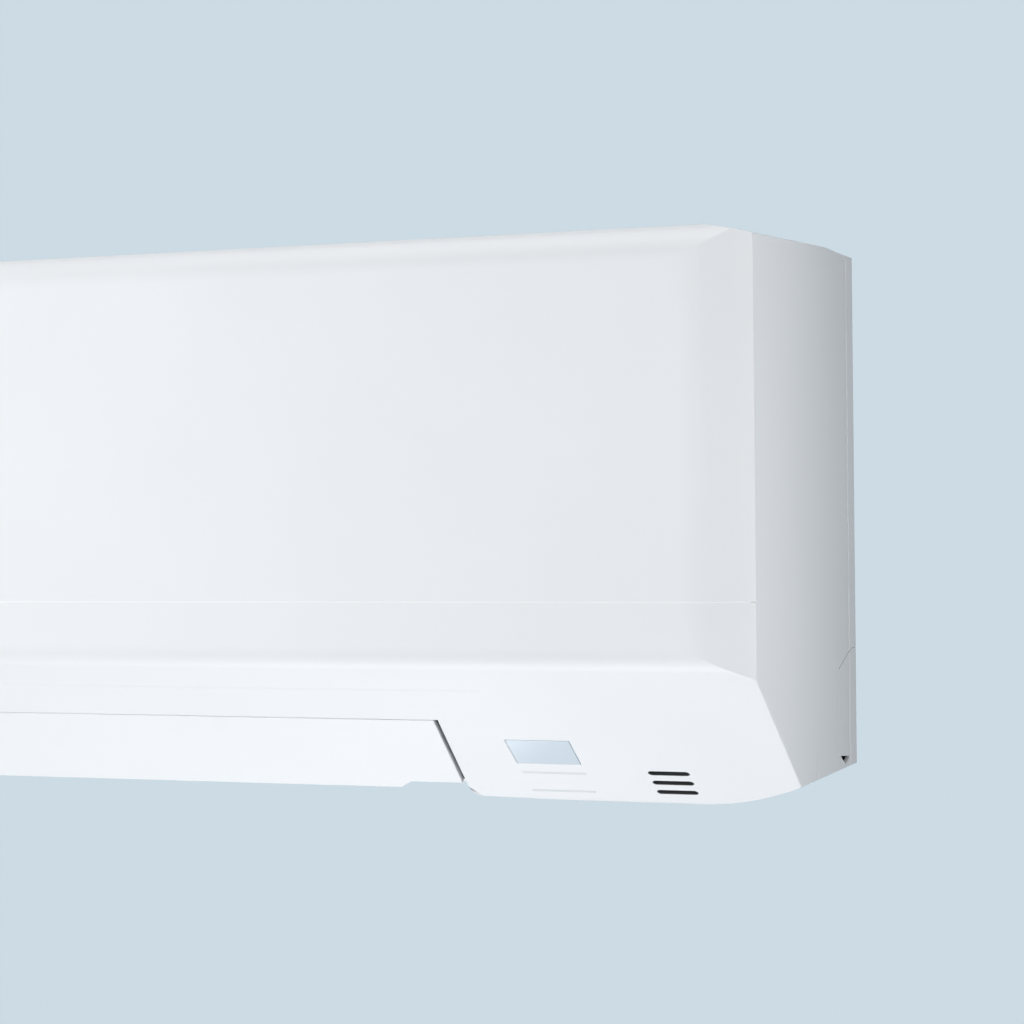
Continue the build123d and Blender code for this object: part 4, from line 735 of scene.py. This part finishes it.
def notchShadeMesh(name, seal, side):
    form = bmesh.new()
    middle = Vector([sum(point[axis] for point in seal["outline"]) / len(seal["outline"]) for axis in (0, 1)])
    thickness, edge, small = seal["thickness"], seal["edge"], 1 - seal["shrink"]
    rings = []
    for x, scale in ((0.0, small), (edge, 1.0), (thickness - edge, 1.0), (thickness, small)):
        ring = []
        for point in seal["outline"]:
            y, z = middle + (Vector(point) - middle) * scale
            ring.append(form.verts.new((side * (seal["outside"] - x) * mm, y * mm, z * mm)))
        rings.append(ring)
    joinRings(form, rings, capped=True)
    return finishMesh(form, name)


for pieceName, (cover, side) in dripNotchShade["sides"].items():
    # Each dark plate is painted shade behind its notch.
    newPiece(pieceName, notchShadeMesh(pieceName, dripNotchShade, side), cover, "rubber")
print("sensor shroud, seam lip and drip seals made")

# Camera: fitted to the photograph, a little below the middle and to the right.
photoCamera = {
    "place": (0.6804, -1.3518, -0.0236),
    "yaw": 19.769,
    "pitch": 0.513,
    "roll": -0.514,
    "lens": 85.366,
    "sensor": 36.0,
    "clipStart": 0.05,
}


def makeCamera(settings):
    yaw, pitch, roll = (math.radians(settings[key]) for key in ("yaw", "pitch", "roll"))
    look = Vector((-math.sin(yaw) * math.cos(pitch), math.cos(yaw) * math.cos(pitch), math.sin(pitch)))
    right = look.cross(Vector((0, 0, 1))).normalized()
    up = right.cross(look)
    rolledRight = right * math.cos(roll) + up * math.sin(roll)
    rolledUp = up * math.cos(roll) - right * math.sin(roll)
    data = bpy.data.cameras.new("photoCamera")
    data.lens = settings["lens"]
    data.sensor_width = settings["sensor"]
    data.clip_start = settings["clipStart"]
    camera = bpy.data.objects.new("photoCamera", data)
    camera.matrix_world = Matrix.Translation(settings["place"]) @ Matrix(
        (rolledRight, rolledUp, -look)).transposed().to_4x4()
    bpy.context.scene.collection.objects.link(camera)
    bpy.context.scene.camera = camera


makeCamera(photoCamera)

# Studio: soft daylight, large lamps and a pale floor that keeps the shadow.
studio = {
    "backdrop": (0.604, 0.708, 0.776),
    "daylight": (0.965, 0.985, 1.0),
    "fromLeft": 0.9,           # strengths of the room's light by direction
    "fromAbove": 0.3,
    "floorHeight": -1.5,
    "floorSize": 8.0,
    "floorColour": (0.74, 0.79, 0.83),
    "floorLift": 0.42,         # how far the camera sees the floor lifted to the backdrop's tone
    "floorRoughness": 0.85,
    "mottleScale": 3.0,
    "mottleTones": (0.985, 1.015),
}
lamps = {
    "keyLamp": {"place": (-0.5, -1.4, 0.0), "aim": (-0.1, -0.2, 0.0), "size": (1.2, 1.2), "power": 13.1},
    "lowLamp": {"place": (0.0, -0.25, -1.05), "aim": (0.05, -0.2, -0.1), "size": (1.0, 0.6), "power": 5.2},
    "topLamp": {"place": (0.0, -0.4, 1.0), "aim": (0.0, -0.2, 0.0), "size": (0.7, 0.7), "power": 2.9},
    "sideLamp": {"place": (0.7, -0.30, 0.0), "aim": (0.4, -0.2, 0.0), "size": (0.16, 0.8), "power": 1.2},
}


def directView(tree):
    # 1 for camera, glossy and transmission rays, and 0 for all others.
    path = addNode(tree, "ShaderNodeLightPath")
    seen = path.outputs["Is Camera Ray"]
    for other in ("Is Glossy Ray", "Is Transmission Ray"):
        seen = math2(tree, "MAXIMUM", seen, path.outputs[other])
    return seen


def showBackdrop(tree, lit, backdrop):
    # Rays of a direct view see the backdrop; all others see lit.
    return addNode(tree, "ShaderNodeMixShader", {0: directView(tree), 1: lit, 2: backdrop}).outputs["Shader"]


def makeWorld(settings):
    world = bpy.data.worlds.new("daylightRoom")
    world.use_nodes = True
    bpy.context.scene.world = world
    tree = world.node_tree
    # Windows and pale walls: light from the left and from above.
    direction = addNode(tree, "ShaderNodeSeparateXYZ", {
        "Vector": addNode(tree, "ShaderNodeTexCoord").outputs["Generated"]}).outputs
    strength = 0.0
    for axis, sign, amount in (("X", -1.0, "fromLeft"), ("Z", 1.0, "fromAbove")):
        share = math2(tree, "MAXIMUM", math2(tree, "MULTIPLY", direction[axis], sign), 0.0)
        strength = math2(tree, "ADD", strength, math2(tree, "MULTIPLY", share, settings[amount]))
    lit = tree.nodes["Background"]
    lit.inputs["Color"].default_value = (*settings["daylight"], 1)
    tree.links.new(strength, lit.inputs["Strength"])
    backdrop = addNode(tree, "ShaderNodeBackground", {"Color": (*settings["backdrop"], 1), "Strength": 1.0})
    mixed = showBackdrop(tree, lit.outputs["Background"], backdrop.outputs["Background"])
    tree.links.new(mixed, tree.nodes["World Output"].inputs["Surface"])


def makeLamp(name, settings):
    data = bpy.data.lights.new(name, "AREA")
    data.shape = "RECTANGLE"
    data.size, data.size_y = settings["size"]
    data.energy = settings["power"]
    lamp = bpy.data.objects.new(name, data)
    lamp.location = Vector(settings["place"])
    lamp.rotation_mode = "QUATERNION"
    lamp.rotation_quaternion = (Vector(settings["aim"]) - lamp.location).to_track_quat("-Z", "Y")
    bpy.context.scene.collection.objects.link(lamp)


def makeFloor(settings):
    half = settings["floorSize"] / 2
    mesh = bpy.data.meshes.new("studioFloor")
    height = settings["floorHeight"]
    corners = ((-half, -half), (half, -half), (half, half), (-half, half))
    mesh.from_pydata([(x, y, height) for x, y in corners], [], [(0, 1, 2, 3)])
    floor = bpy.data.objects.new("studioFloor", mesh)
    bpy.context.scene.collection.objects.link(floor)
    material, tree, shader, where = newMaterial("paleFloor")
    mottle = noise(tree, where, settings["mottleScale"])
    tones = [shade(settings["floorColour"], factor) for factor in settings["mottleTones"]]
    tree.links.new(twoTone(tree, mottle.outputs["Fac"], *tones), shader.inputs["Base Color"])
    shader.inputs["Roughness"].default_value = settings["floorRoughness"]
    shader.inputs["Emission Color"].default_value = (*settings["backdrop"], 1)
    tree.links.new(math2(tree, "MULTIPLY", directView(tree), settings["floorLift"]),
                   shader.inputs["Emission Strength"])
    mesh.materials.append(material)


makeWorld(studio)
makeFloor(studio)
for lampName, lampSettings in lamps.items():
    makeLamp(lampName, lampSettings)
bpy.context.scene.view_settings.view_transform = "Standard"
print("camera, lamps and floor ready")
